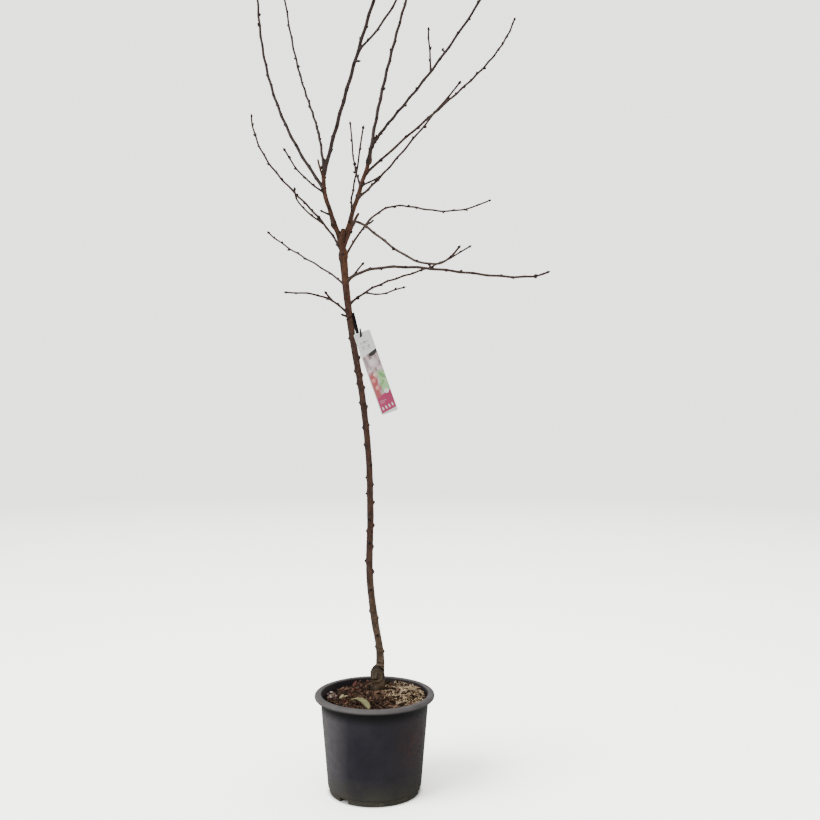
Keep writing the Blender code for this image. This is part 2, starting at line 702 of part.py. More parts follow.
def build_strap(parts, scratch):
    loop_points = []
    for index in range(STRAP_LOOP_STEPS):
        angle = 2 * math.pi * index / STRAP_LOOP_STEPS
        loop_points.append((STRAP_LOOP_RADIUS * math.cos(angle), STRAP_LOOP_RADIUS * math.sin(angle)))
    loop = ribbon("strap_loop", loop_points, STRAP_LOOP_WIDTH, True, scratch)
    tilt = Matrix.Rotation(math.radians(-STRAP_LOOP_TILT), 4, "Y")
    loop.matrix_world = Matrix.Translation(trunk_point(STRAP_LOOP_HEIGHT)) @ tilt

    label_depth = STRAP_HANG[1] - TAG_DEPTH
    run = list(STRAP_TOP)
    run += [(SLOT_DROP + drop, label_depth + depth) for drop, depth in STRAP_BEHIND]
    run.append((SLOT_DROP, label_depth))
    run += [(SLOT_DROP + drop, label_depth + depth) for drop, depth in STRAP_BEFORE]
    strip = ribbon("label_strap", [(-drop, depth) for drop, depth in run], STRAP_WIDTH, False, parts)
    stand = Matrix(((0, 0, 1, 0), (1, 0, 0, 0), (0, 1, 0, 0), (0, 0, 0, 1)))
    strip.matrix_world = hang_frame() @ stand
    for band in (loop, strip):
        thicken = band.modifiers.new("thickness", "SOLIDIFY")
        thicken.thickness = STRAP_THICKNESS
        thicken.offset = 0.0
    bpy.context.view_layer.update()
    strip = solid_from(strip)
    loop = solid_from(loop)
    fuse(strip, [loop], scratch)
    finish_piece(strip, material("strap plastic", (0.012, 0.012, 0.013), 0.45), smooth=False)


def main():
    remove_everything()
    parts = new_collection("potted peach tree")
    cutters = new_collection("cutters and guides")
    scratch = new_collection("scratch")
    build_pot(parts, cutters)
    build_soil(parts)
    build_tree(parts, scratch, cutters)
    build_tag(parts)
    build_strap(parts, scratch)
    bpy.data.collections.remove(scratch)


main()
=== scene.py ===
import bisect
import math
import random

import bmesh
import bpy
import numpy as np
from mathutils import Matrix, Vector, noise
from mathutils.geometry import interpolate_bezier
from mathutils.kdtree import KDTree


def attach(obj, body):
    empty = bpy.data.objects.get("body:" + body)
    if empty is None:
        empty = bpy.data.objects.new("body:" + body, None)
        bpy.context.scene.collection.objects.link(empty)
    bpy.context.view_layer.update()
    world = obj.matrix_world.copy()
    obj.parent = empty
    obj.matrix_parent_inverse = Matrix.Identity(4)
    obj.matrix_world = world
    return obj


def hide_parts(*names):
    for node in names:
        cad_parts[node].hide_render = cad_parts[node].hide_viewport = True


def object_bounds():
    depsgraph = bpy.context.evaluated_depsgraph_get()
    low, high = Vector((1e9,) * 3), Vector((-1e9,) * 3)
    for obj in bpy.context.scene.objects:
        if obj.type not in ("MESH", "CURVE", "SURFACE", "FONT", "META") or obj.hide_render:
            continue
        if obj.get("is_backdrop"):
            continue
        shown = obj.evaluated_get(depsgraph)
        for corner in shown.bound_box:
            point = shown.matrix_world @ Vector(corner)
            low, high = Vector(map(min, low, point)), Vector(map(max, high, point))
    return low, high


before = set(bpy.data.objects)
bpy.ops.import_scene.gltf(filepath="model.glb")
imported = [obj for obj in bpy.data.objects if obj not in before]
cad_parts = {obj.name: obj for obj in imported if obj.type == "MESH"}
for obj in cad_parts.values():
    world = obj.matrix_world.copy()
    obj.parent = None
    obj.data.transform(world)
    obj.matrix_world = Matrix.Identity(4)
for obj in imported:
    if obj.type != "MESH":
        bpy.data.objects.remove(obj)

cad_low, cad_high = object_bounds()


# Pot: a twelve litre nursery pot, moulded in one piece from dark recycled polypropylene. It
# has a rolled rim to lift it by, a step near the foot for stacking, a ring-shaped channel
# underneath, and three notches and a ring of holes that let water out.

POT_HEIGHT = 0.256
RIM_RADIUS = 0.1564
RIM_HEIGHT = 0.0135
RIM_OVERHANG = 0.0155
RIM_WIDTH = 0.0180
RIM_INNER_ROLL = 0.0040
POT_WALL = 0.0030
POT_FOOT_RADIUS = 0.1168
STEP_HEIGHT = 0.018
STEP_RADIUS = 0.1221
STEP_WIDTH = 0.0035
POT_FLOOR = 0.0145
CHANNEL = (0.055, 0.108)
CHANNEL_DEPTH = 0.0115
NOTCH_ANGLES = (-130.0, -10.0, 110.0)
NOTCH_WIDTH = 0.029
DRAIN_HOLES = 8
DRAIN_RING = 0.080
DRAIN_RADIUS = 0.0055
DRAIN_DEPTH = 0.006
NOTCH_REACH = 0.030
NOTCH_ROUNDING = 0.0015
SHARP_EDGE = 38.0
POT_STEPS = 180


def placed(name, data):
    """Object for a mesh, a light or a camera, in the scene."""
    made = bpy.data.objects.new(name, data)
    bpy.context.scene.collection.objects.link(made)
    return made


def set_marks(mesh, marks):
    """Keeps one number, or one place, for each point of a mesh under each mark."""
    for mark, values in marks.items():
        values = np.asarray(values, np.float32)
        kind, key = ("FLOAT_VECTOR", "vector") if values.ndim == 2 else ("FLOAT", "value")
        mesh.attributes.new(mark, kind, "POINT").data.foreach_set(key, values.ravel())


def mesh_piece(name, points, faces, marks=None):
    """Smooth object from points and faces, with its marks."""
    mesh = bpy.data.meshes.new(name)
    mesh.from_pydata(np.asarray(points, float).tolist(), [], faces)
    set_marks(mesh, marks or {})
    mesh.shade_smooth()
    return placed(name, mesh)


def cage_piece(name, cage):
    """Object from a mesh that is being edited, which is then freed."""
    mesh = bpy.data.meshes.new(name)
    cage.to_mesh(mesh)
    cage.free()
    return placed(name, mesh)


def modify(piece, kind, **settings):
    made = piece.modifiers.new(kind.lower(), kind)
    for key, value in settings.items():
        setattr(made, key, value)


def settle(piece):
    """Applies a piece's modifiers."""
    depsgraph = bpy.context.evaluated_depsgraph_get()
    mesh = bpy.data.meshes.new_from_object(piece.evaluated_get(depsgraph))
    piece.modifiers.clear()
    piece.data = mesh


def hand_over(piece, material, slot, *solids):
    """Gives a piece its material and names the solids that it takes the place of. The slot is not used."""
    piece.data.materials.clear()
    piece.data.materials.append(material)
    if solids:
        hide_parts(*solids)
    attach(piece, "root")


def node(tree, kind, inputs=None, **settings):
    """Adds a shader node. Each input is a number, a colour or the socket that feeds it."""
    made = tree.nodes.new("ShaderNode" + kind)
    for key, value in settings.items():
        setattr(made, key, value)
    for key, value in (inputs or {}).items():
        if isinstance(value, bpy.types.NodeSocket):
            tree.links.new(value, made.inputs[key])
        else:
            made.inputs[key].default_value = value
    return made


def maths(operation, *values):
    """Result of a sum of shader values, at least one of which is a socket."""
    tree = next(value for value in values if isinstance(value, bpy.types.NodeSocket)).id_data
    return node(tree, "Math", dict(enumerate(values)), operation=operation).outputs[0]


def vector_maths(operation, *values):
    """Result of a sum of places, the first of which is a socket."""
    kind = "Value" if operation in ("LENGTH", "DISTANCE", "DOT_PRODUCT") else "Vector"
    made = node(values[0].id_data, "VectorMath", dict(enumerate(values)), operation=operation)
    return made.outputs[kind]


def times(first, *more):
    for value in more:
        first = maths("MULTIPLY", first, value)
    return first


def axis(place, name):
    return node(place.id_data, "SeparateXYZ", {0: place}).outputs[name]


def mixed(share, first, second):
    """Colour between two colours, each a socket or three numbers."""
    colours = [c if isinstance(c, bpy.types.NodeSocket) else (*c, 1.0) for c in (first, second)]
    made = node(share.id_data, "Mix", {0: share, 6: colours[0], 7: colours[1]}, data_type="RGBA")
    return made.outputs[2]


def scaled(colour, strength):
    made = node(colour.id_data, "VectorMath", {0: colour, 3: strength}, operation="SCALE")
    return made.outputs[0]


def spread(value, low, high, start=0.0, end=1.0):
    """Stretches a value from one range to another, and clamps it."""
    return node(value.id_data, "MapRange", {0: value, 1: low, 2: high, 3: start, 4: end}).outputs[0]


def speckle(place, scale, detail=3.0, roughness=0.55):
    """Noise value at a place, scale in patches a metre."""
    inputs = {"Vector": place, "Scale": scale, "Detail": detail, "Roughness": roughness}
    return node(place.id_data, "TexNoise", inputs).outputs["Fac"]


def stretched(place, x, y, z):
    """A place squeezed by three factors, so that what it drives is drawn out."""
    return vector_maths("MULTIPLY", place, (x, y, z))


def new_group(name, inputs, outputs):
    """Empty shader node group, with its inputs and their start values: none is for a place."""
    group = bpy.data.node_groups.new(name, "ShaderNodeTree")
    for label, value in inputs.items():
        kind = "NodeSocketVector" if value is None else "NodeSocketFloat"
        socket = group.interface.new_socket(label, in_out="INPUT", socket_type=kind)
        if value is not None:
            socket.default_value = value
    for label in outputs:
        group.interface.new_socket(label, in_out="OUTPUT", socket_type="NodeSocketFloat")
    return group, group.nodes.new("NodeGroupInput").outputs, group.nodes.new("NodeGroupOutput").inputs


class Look:
    """A material with its Principled BSDF, whose colour is laid on in layers."""

    def __init__(self, name, roughness, specular):
        self.material = bpy.data.materials.new(name)
        self.material.use_nodes = True
        self.tree = self.material.node_tree
        self.shader = self.tree.nodes["Principled BSDF"]
        self.shader.inputs["Roughness"].default_value = roughness
        self.shader.inputs["Specular IOR Level"].default_value = specular
        self.place = node(self.tree, "TexCoord").outputs["Object"]

    def mark(self, name, kind="Fac"):
        return node(self.tree, "Attribute", attribute_name=name).outputs[kind]

    def ground(self, share, dark, light):
        self.colour = mixed(share, dark, light)

    def over(self, share, colour, strength=1.0):
        """Lays a colour over what is there, as far as a mask and a strength let it."""
        self.colour = mixed(share if strength == 1.0 else times(share, strength), self.colour, colour)

    def dusty(self, patch_size, cover, colour):
        """Lays dust over the colour, and returns the dust's grain."""
        settled = node(self.tree, "Group", {"Place": self.place, "Patch size": patch_size,
                                            "Cover": cover}, node_tree=dust).outputs
        self.over(settled["Mask"], colour)
        return settled["Grain"]

    def feed(self, label, value):
        self.tree.links.new(value, self.shader.inputs[label])

    def finish(self, height, distance, strength, rough=None):
        """Feeds the colour, a relief of a height times a distance in metres, and how rough it is."""
        bump = node(self.tree, "Bump", {"Height": height, "Distance": distance, "Strength": strength})
        self.feed("Normal", bump.outputs[0])
        self.feed("Base Color", self.colour)
        if rough:
            self.feed("Roughness", rough)
        return self.material


def body_radius(height):
    """Outer radius of the pot's wall, which narrows evenly from rim to step."""
    top = POT_HEIGHT - RIM_HEIGHT
    share = (height - STEP_HEIGHT) / (top - STEP_HEIGHT)
    return STEP_RADIUS + (RIM_RADIUS - RIM_OVERHANG - STEP_RADIUS) * share


def arc(radius, height, roll, start, end, count):
    """Points of a profile round a centre, by angle in degrees."""
    angles = np.radians(np.linspace(start, end, count))
    return [(radius + roll * math.cos(a), height + roll * math.sin(a)) for a in angles]


def turned(profile, steps):
    """Points and faces of a solid of revolution whose profile starts and ends on the axis."""
    angles = np.linspace(0.0, 2 * math.pi, steps, endpoint=False)
    points = [(0.0, 0.0, profile[0][1])]
    for radius, height in profile[1:-1]:
        points += [(radius * math.cos(a), radius * math.sin(a), height) for a in angles]
    points.append((0.0, 0.0, profile[-1][1]))
    faces = []
    rings = len(profile) - 2
    for j in range(steps):
        k = (j + 1) % steps
        faces.append((0, 1 + j, 1 + k))
        for i in range(rings - 1):
            a, b = 1 + i * steps, 1 + (i + 1) * steps
            faces.append((a + k, a + j, b + j, b + k))
        last = 1 + (rings - 1) * steps
        faces.append((last + k, last + j, len(points) - 1))
    return points, faces


inner_floor = body_radius(POT_FLOOR) - POT_WALL - STEP_WIDTH
outer_roll = RIM_HEIGHT / 2
inner_rim = RIM_RADIUS - RIM_WIDTH
under_rim = POT_HEIGHT - RIM_HEIGHT
pot_profile = [(0.0, POT_FLOOR), (inner_floor - 0.004, POT_FLOOR)]
pot_profile += arc(inner_floor - 0.004, POT_FLOOR + 0.004, 0.004, -90, 0, 4)[1:]
pot_profile += arc(inner_rim + RIM_INNER_ROLL, POT_HEIGHT - RIM_INNER_ROLL, RIM_INNER_ROLL, 180, 90, 7)
pot_profile += arc(RIM_RADIUS - outer_roll, POT_HEIGHT - outer_roll, outer_roll, 90, -90, 17)
pot_profile += arc(body_radius(under_rim) + 0.0015, under_rim - 0.0015, 0.0015, 90, 180, 4)
pot_profile += [(body_radius(z), z) for z in np.linspace(under_rim - 0.004, STEP_HEIGHT + 0.002, 14)]
pot_profile += arc(STEP_RADIUS - 0.0012, STEP_HEIGHT, 0.0012, 0, -80, 4)
pot_profile += [(STEP_RADIUS - STEP_WIDTH, STEP_HEIGHT - 0.0022)]
pot_profile += [(POT_FOOT_RADIUS + 0.0012, 0.0035)]
pot_profile += arc(POT_FOOT_RADIUS - 0.0012, 0.0012, 0.0012, -10, -90, 4)
pot_profile += [(CHANNEL[1], 0.0), (CHANNEL[1] - 0.001, CHANNEL_DEPTH)]
pot_profile += [(CHANNEL[0] + 0.001, CHANNEL_DEPTH), (CHANNEL[0], 0.0), (0.0085, 0.0)]
pot_profile += [(0.0075, 0.0012), (0.0025, 0.0012), (0.0020, 0.0007), (0.0, 0.0007)]
pot = mesh_piece("nursery_pot", *turned(pot_profile, POT_STEPS))

# Rounded blocks for the three notches and rods for the drain holes.
cage = bmesh.new()
for angle in NOTCH_ANGLES:
    turn = Matrix.Rotation(math.radians(angle), 4, "Z")
    place = turn @ Matrix.Translation((POT_FOOT_RADIUS, 0.0, 0.0))
    size = Matrix.Diagonal((NOTCH_REACH, NOTCH_WIDTH, 2 * CHANNEL_DEPTH, 1.0))
    block = bmesh.ops.create_cube(cage, size=1.0, matrix=place @ size)["verts"]
    edges = {edge for vert in block for edge in vert.link_edges}
    bmesh.ops.bevel(cage, geom=list(edges), offset=NOTCH_ROUNDING, segments=3, profile=0.5,
                    affect="EDGES")
for index in range(DRAIN_HOLES):
    angle = 2 * math.pi * (index + 0.3) / DRAIN_HOLES
    place = Matrix.Translation((DRAIN_RING * math.cos(angle), DRAIN_RING * math.sin(angle), 0.0105))
    bmesh.ops.create_cone(cage, cap_ends=True, segments=24, radius1=DRAIN_RADIUS,
                          radius2=DRAIN_RADIUS, depth=DRAIN_DEPTH, matrix=place)
cutter = cage_piece("notch cutter", cage)
modify(pot, "BOOLEAN", operation="DIFFERENCE", solver="EXACT", object=cutter)
settle(pot)
bpy.data.objects.remove(cutter)
pot.data.shade_smooth()
pot.data.set_sharp_from_angle(angle=math.radians(SHARP_EDGE))

# Dust and dried splashes, which the pot, the label and the strap share.
dust, given, wanted = new_group("settled dust", {"Place": None, "Patch size": 0.03, "Cover": 0.4},
                                ("Mask", "Grain"))
upward = axis(node(dust, "NewGeometry").outputs["Normal"], "Z")
spots = speckle(given["Place"], maths("DIVIDE", 1.0, given["Patch size"]), 5.0, 0.65)
fines = speckle(given["Place"], 900.0, 2.0)
shown = times(spread(spots, 0.38, 0.72), spread(upward, -0.2, 1.0, 0.25, 1.0), given["Cover"],
              spread(fines, 0.3, 0.7, 0.55, 1.0))
dust.links.new(shown, wanted["Mask"])
dust.links.new(fines, wanted["Grain"])

look = Look("pot plastic", 0.5, 0.19)
place, height = look.place, axis(look.place, "Z")
look.ground(spread(speckle(place, 9.0, 4.0), 0.35, 0.7),
            (0.0145, 0.0132, 0.0198), (0.0212, 0.0192, 0.0270))
# Painted highlight: the plastic is made paler towards its left side, where the key light falls, and it is
# browned on the other.
painted_side_light = spread(vector_maths("DOT_PRODUCT", place, (-0.98, -0.20, 0.0)), 0.084, 0.133)
painted_side_light = times(painted_side_light, spread(speckle(place, 55.0, 4.0), 0.3, 0.6, 0.72, 1.0))
look.over(painted_side_light, (0.118, 0.111, 0.115), 0.85)
browned = spread(vector_maths("DOT_PRODUCT", place, (0.88, -0.47, 0.0)), 0.085, 0.140)
look.over(browned, (0.034, 0.026, 0.027), 0.75)
look.dusty(0.05, 0.45, (0.085, 0.082, 0.088))
# Painted shadow outside, close under the rim, earth inside it, and a rim rubbed pale by hands with a
# painted highlight along its top.
radius = vector_maths("LENGTH", stretched(place, 1.0, 1.0, 0.0))
wall = spread(height, STEP_HEIGHT, POT_HEIGHT - RIM_HEIGHT, STEP_RADIUS, RIM_RADIUS - RIM_OVERHANG)
past_wall = maths("SUBTRACT", radius, wall)
look.over(spread(past_wall, -0.0010, -0.0020, 0.0, 0.6), (0.036, 0.028, 0.031))
painted_rim_shadow = times(spread(height, 0.210, 0.231), spread(past_wall, -0.0020, -0.0010))
look.over(painted_rim_shadow, (0.0020, 0.0016, 0.0024), 0.97)
# The paler top of the rim is partly wear from hands and partly a painted highlight on the top of the roll.
rubbed_and_lit = times(spread(speckle(place, 26.0, 4.0), 0.25, 0.6, 0.7, 1.0),
               spread(height, 0.2445, 0.2500), spread(radius, 0.1385, 0.1405))
look.over(rubbed_and_lit, (0.150, 0.138, 0.139), 0.94)
# Brown splash of watered-out soil at the right of the wall.
from_splash = vector_maths("DISTANCE", place, (0.112, -0.078, 0.145))
splash = times(spread(speckle(place, 42.0), 0.34, 0.60), spread(from_splash, 0.075, 0.020))
look.over(splash, (0.050, 0.026, 0.024), 0.85)
# Green-grey film of algae and splashed earth round the foot.
film = times(spread(speckle(place, 30.0, 5.0), 0.25, 0.6, 0.35, 1.0), spread(height, 0.075, 0.006))
look.over(film, (0.064, 0.059, 0.044), 0.9)
# Pale scuffs where the foot is dragged over paving.
dragged = speckle(stretched(place, 26.0, 26.0, 420.0), 1.0, 3.0, 0.6)
scuffs = times(spread(dragged, 0.58, 0.66), spread(height, 0.017, 0.006))
look.over(scuffs, (0.16, 0.15, 0.13), 0.75)
wear = maths("ADD", spread(speckle(place, 120.0, 3.0), 0.3, 0.7, 0.46, 0.62), times(film, 0.25))
plastic = look.finish(speckle(place, 1400.0, 2.0, 0.5), 0.00022, 0.5, wear)
hand_over(pot, plastic, "pot", "pot")


# Potting soil: bark, peat and fibre, pressed level by hand and watered, with a low crown
# round the trunk. It shrinks a little away from the wall as it dries.

GAP = 0.0003
SOIL_LEVEL = 0.238
SOIL_RISE = 0.004
SOIL_CROWN = 0.250
SOIL_CROWN_RADIUS = 0.058
SOIL_SLOPE_RADIUS = 0.100
TRUNK_FOOT = (0.006, 0.050)
SOIL_RINGS = 92
SOIL_STEPS = 360
STRAW_MIDDLE = (0.090, 0.030)
STRAW_REACH = (0.068, 0.100)
STRAW_RISE = 0.0060
BACK_RISE = 0.0035
HOLLOW = (-0.106, -0.034)
HOLLOW_DEPTH = 0.0070
HOLLOW_RADIUS = 0.026


def soil_height(x, y):
    """Level of the soil, as pressed: higher to the right, with a low flat crown at the trunk."""
    plain = SOIL_LEVEL + SOIL_RISE * x / RIM_RADIUS
    distance = math.hypot(x - TRUNK_FOOT[0], y - TRUNK_FOOT[1])
    share = (SOIL_SLOPE_RADIUS - distance) / (SOIL_SLOPE_RADIUS - SOIL_CROWN_RADIUS)
    share = min(max(share, 0.0), 1.0)
    return plain + (SOIL_CROWN - plain) * share * share * (3.0 - 2.0 * share)


def wall_inside(height):
    share = (height - POT_FLOOR) / (POT_HEIGHT - RIM_INNER_ROLL - POT_FLOOR)
    return inner_floor + (inner_rim - inner_floor) * share


def in_straw(x, y):
    """How deep inside the mat of straw a place is: 1 in its middle and 0 outside it."""
    across = (x - STRAW_MIDDLE[0]) / STRAW_REACH[0]
    along = (y - STRAW_MIDDLE[1]) / STRAW_REACH[1]
    return max(0.0, 1.0 - math.hypot(across, along))


def ground(x, y):
    """Height of the soil's surface with its lumps and hollows."""
    place = Vector((x, y, 0.0))
    lumps = noise.fractal(place * 38.0, 0.9, 2.1, 3)
    crumbs = noise.fractal(place * 170.0 + Vector((7.0, 3.0, 1.0)), 0.8, 2.2, 3)
    edge = min(max((math.hypot(x, y) - 0.118) / 0.018, 0.0), 1.0)
    trunk = math.hypot(x - TRUNK_FOOT[0], y - TRUNK_FOOT[1])
    calm = min(max((trunk - 0.015) / 0.03, 0.35), 1.0)
    level = soil_height(x, y) - 0.0022 + calm * (0.0052 * lumps + 0.0015 * crumbs) - 0.0045 * edge
    level += BACK_RISE * min(max(y / 0.09, 0.0), 1.0) + STRAW_RISE * min(1.0, 2.0 * in_straw(x, y))
    from_hollow = math.hypot(x - HOLLOW[0], y - HOLLOW[1]) / HOLLOW_RADIUS
    return level - HOLLOW_DEPTH * math.exp(-from_hollow ** 2)


edge_radius = wall_inside(SOIL_LEVEL) - 2 * GAP
soil_profile = [(edge_radius * ring / SOIL_RINGS, None) for ring in range(SOIL_RINGS + 1)]
soil_profile += [(wall_inside(0.20) - 2 * GAP, 0.20), (wall_inside(0.03) - 2 * GAP, 0.03),
                 (inner_floor - 0.005, POT_FLOOR + GAP), (0.0, POT_FLOOR + GAP)]
points, faces = turned(soil_profile, SOIL_STEPS)
points = [(x, y, ground(x, y) if z is None else z) for x, y, z in points]
soil = mesh_piece("soil_surface", points, faces)

look = Look("moist potting soil", 0.92, 0.2)
look.ground(spread(speckle(look.place, 210.0, 5.0, 0.7), 0.35, 0.68),
            (0.0060, 0.0032, 0.0023), (0.092, 0.046, 0.028))
look.over(spread(speckle(look.place, 34.0, 3.0), 0.5, 0.66, 0.0, 0.6), (0.100, 0.050, 0.030))
bits = node(look.tree, "TexVoronoi", {"Vector": look.place, "Scale": 480.0, "Randomness": 1.0})
look.over(spread(axis(bits.outputs["Color"], "X"), 0.86, 0.9), (0.21, 0.15, 0.095), 0.6)
earth = look.finish(speckle(look.place, 620.0, 5.0, 0.75), 0.0012, 0.9)
hand_over(soil, earth, "soil", "potting_soil")


# Loose litter on the soil: bark chips and crumbs everywhere, a mat of straw and coir fibre
# at the right, crumbs of lime and wood at the left, and what the wind dropped in the pot.

CHIPS = 520
CRUMBS = 2300
STRAWS = 900
THIN_FIBRES = 130
MOSS_CRUMBS = 70
LITTER_RADIUS = 0.130
LEAF_THICKNESS = 0.00045
LEAF_HALF_WIDTH = 0.0100
LEAF_ACROSS = 10


class Heap:
    """Many closed solids that are kept as one mesh, each with marks such as a tone of its own."""

    def __init__(self):
        self.points, self.faces, self.marks, self.count = [], [], {}, 0

    def add(self, points, faces, tone=None, **marks):
        """Adds a solid. A mark is one number for all its points, or one for each."""
        self.points.append(np.asarray(points, float))
        self.faces += [tuple(corner + self.count for corner in face) for face in faces]
        if tone is not None:
            marks["tone"] = tone
        for mark, values in marks.items():
            values = values if np.ndim(values) else np.full(len(points), values)
            self.marks.setdefault(mark, []).append(values)
        self.count += len(points)

    def mesh(self, name):
        marks = {mark: np.concatenate(values) for mark, values in self.marks.items()}
        return mesh_piece(name, np.vstack(self.points), self.faces, marks)

    def piece(self, name, slot, material, *solids, sharp=50.0):
        made = self.mesh(name)
        if sharp:
            made.data.set_sharp_from_angle(angle=math.radians(sharp))
        hand_over(made, material, slot, *solids)


def finer(values, times_finer):
    """Values on a smooth curve through the given ones, that many for each span."""
    values = np.asarray(values, float)
    ahead = 2 * values[:1] - values[1:2]
    beyond = 2 * values[-1:] - values[-2:-1]
    padded = np.concatenate([ahead, values, beyond])
    fine = []
    for index in range(len(values) - 1):
        a, b, c, d = padded[index:index + 4]
        for step in range(times_finer):
            u = step / times_finer
            fine.append(0.5 * (2 * b + (c - a) * u + (2 * a - 5 * b + 4 * c - d) * u * u
                               + (3 * b - a - 3 * c + d) * u ** 3))
    fine.append(values[-1])
    return np.array(fine)


def frames_along(points):
    """Direction of a line at each point, and two more square to it, turned as little as can be."""
    tangents = np.gradient(points, axis=0)
    tangents /= np.linalg.norm(tangents, axis=1)[:, None]
    side = np.cross(tangents[0], (0.0, 1.0, 0.0))
    if np.linalg.norm(side) < 0.1:
        side = np.cross(tangents[0], (1.0, 0.0, 0.0))
    sides = []
    for tangent in tangents:
        side = side - tangent * np.dot(side, tangent)
        side = side / np.linalg.norm(side)
        sides.append(side)
    sides = np.array(sides)
    return tangents, sides, np.cross(tangents, sides)


def swept(points, radii, count):
    """Closed tube along points. radii has one number a ring, or one a ring and side."""
    points = np.asarray(points, float)
    radii = np.asarray(radii, float)
    if radii.ndim == 1:
        radii = np.repeat(radii[:, None], count, axis=1)
    sides, fronts = frames_along(points)[1:]
    angles = np.linspace(0.0, 2 * math.pi, count, endpoint=False)
    around = (np.cos(angles)[None, :, None] * sides[:, None, :]
              + np.sin(angles)[None, :, None] * fronts[:, None, :])
    rings = points[:, None, :] + radii[:, :, None] * around
    corners = np.vstack([rings.reshape(-1, 3), points[:1], points[-1:]])
    faces = []
    first, last = len(points) * count, len(points) * count + 1
    end = (len(points) - 1) * count
    for j in range(count):
        k = (j + 1) % count
        faces += [(a + j, a + k, a + count + k, a + count + j) for a in range(0, end, count)]
        faces.append((first, k, j))
        faces.append((last, end + j, end + k))
    return corners, faces


def lie(points, x, y, height, turn, tip, roll):
    """Lays a small solid on the soil at a place, turned, tipped and rolled by radians."""
    matrix = (Matrix.Translation((x, y, height)) @ Matrix.Rotation(turn, 4, "Z")
              @ Matrix.Rotation(tip, 4, "Y") @ Matrix.Rotation(roll, 4, "X"))
    rows = np.array(matrix)
    return np.asarray(points, float) @ rows[:3, :3].T + rows[:3, 3]


def chip(rng, length, width, thickness):
    """Split flake of bark: an uneven outline, thinner at its edge and a little curled."""
    count = rng.randint(7, 10)
    outline = []
    for index in range(count):
        angle = 2 * math.pi * (index + rng.uniform(-0.25, 0.25)) / count
        reach = rng.uniform(0.72, 1.0)
        outline.append((0.5 * length * reach * math.cos(angle), 0.5 * width * reach * math.sin(angle)))
    curl = rng.uniform(-2.0, 2.0) * thickness / length ** 2
    points = []
    for share, level in ((0.86, -0.5), (1.0, -0.1), (0.97, 0.25), (0.78, 0.5)):
        for x, y in outline:
            rise = curl * x * x * 4 + rng.uniform(-0.12, 0.12) * thickness
            points.append((x * share, y * share, level * thickness + rise))
    faces = [tuple(reversed(range(count))), tuple(range(3 * count, 4 * count))]
    for ring in range(3):
        for j in range(count):
            k = (j + 1) % count
            a = ring * count
            faces.append((a + j, a + k, a + count + k, a + count + j))
    return points, faces


def listed(cage):
    """Points and faces of a mesh that is being edited, which is then freed."""
    cage.verts.index_update()
    points = [tuple(vert.co) for vert in cage.verts]
    faces = [tuple(vert.index for vert in face.verts) for face in cage.faces]
    cage.free()
    return points, faces


def crumb(rng, size, detail=1):
    """Rough grain, from a ball with its points pushed about."""
    cage = bmesh.new()
    bmesh.ops.create_icosphere(cage, subdivisions=detail, radius=size / 2)
    stretch = Vector((rng.uniform(0.8, 1.4), rng.uniform(0.7, 1.1), rng.uniform(0.6, 1.0)))
    points, faces = listed(cage)
    return [Vector(a * b for a, b in zip(point, stretch)) * rng.uniform(0.72, 1.18)
            for point in points], faces


def scatter(rng):
    """Random place on the soil, evenly spread, clear of the trunk's foot."""
    while True:
        x, y = rng.uniform(-0.13, 0.13), rng.uniform(-0.13, 0.13)
        near = math.hypot((x - TRUNK_FOOT[0]) / 0.021, (y - TRUNK_FOOT[1] + 0.006) / 0.026)
        if math.hypot(x, y) < 0.129 and near > 1.0:
            return x, y


rng = random.Random("litter")
chips = Heap()
for index in range(CHIPS):
    x, y = scatter(rng)
    if in_straw(x, y) > 0.25 and rng.random() < 0.7:
        continue
    length = rng.uniform(0.007, 0.018) * (1.4 if rng.random() < 0.2 else 1.0)
    points, faces = chip(rng, length, length * rng.uniform(0.3, 0.65), rng.uniform(0.0012, 0.0030))
    lift = rng.uniform(-0.0004, 0.0040)
    patch = 0.5 + noise.noise(Vector((x * 34.0, y * 34.0, 4.0)))
    chips.add(lie(points, x, y, ground(x, y) + lift, rng.uniform(0, 6.28), rng.uniform(-0.7, 0.7),
                  rng.uniform(-0.7, 0.7)), faces, min(max(rng.random() + 0.9 * (patch - 0.55), 0.0), 1.0))
# Red-brown flat piece of bark in front of the trunk, and dark red flakes behind and in front.
for x, y, length, width, turn, tip, tone in (
        (0.016, 0.004, 0.046, 0.021, 0.15, 0.10, 0.62), (0.035, -0.012, 0.030, 0.012, -0.3, 0.2, 0.55),
        (0.024, 0.006, 0.030, 0.016, 0.5, 0.35, 0.72), (0.002, -0.050, 0.028, 0.013, 0.7, 0.2, 0.66),
        (-0.060, 0.108, 0.030, 0.017, 0.4, -0.8, 0.98), (-0.046, 0.113, 0.024, 0.015, -0.5, -0.7, 0.94),
        (-0.074, 0.098, 0.022, 0.014, 0.9, 0.7, 0.90), (-0.034, -0.086, 0.020, 0.010, 0.2, 0.3, 0.90),
        (-0.052, -0.078, 0.017, 0.009, 1.1, 0.3, 0.96), (-0.013, -0.097, 0.022, 0.010, -0.2, 0.2, 0.85),
        (-0.068, -0.066, 0.019, 0.010, 0.6, 0.3, 0.93), (0.008, -0.104, 0.020, 0.009, 0.3, 0.2, 0.88),
        (0.046, -0.070, 0.024, 0.009, 0.5, 0.2, 0.70), (0.062, -0.052, 0.020, 0.008, -0.4, 0.3, 0.60)):
    points, faces = chip(rng, length, width, 0.0026)
    chips.add(lie(points, x, y, ground(x, y) + 0.0028, turn, tip, rng.uniform(-0.2, 0.2)), faces, tone)
crumbs = Heap()
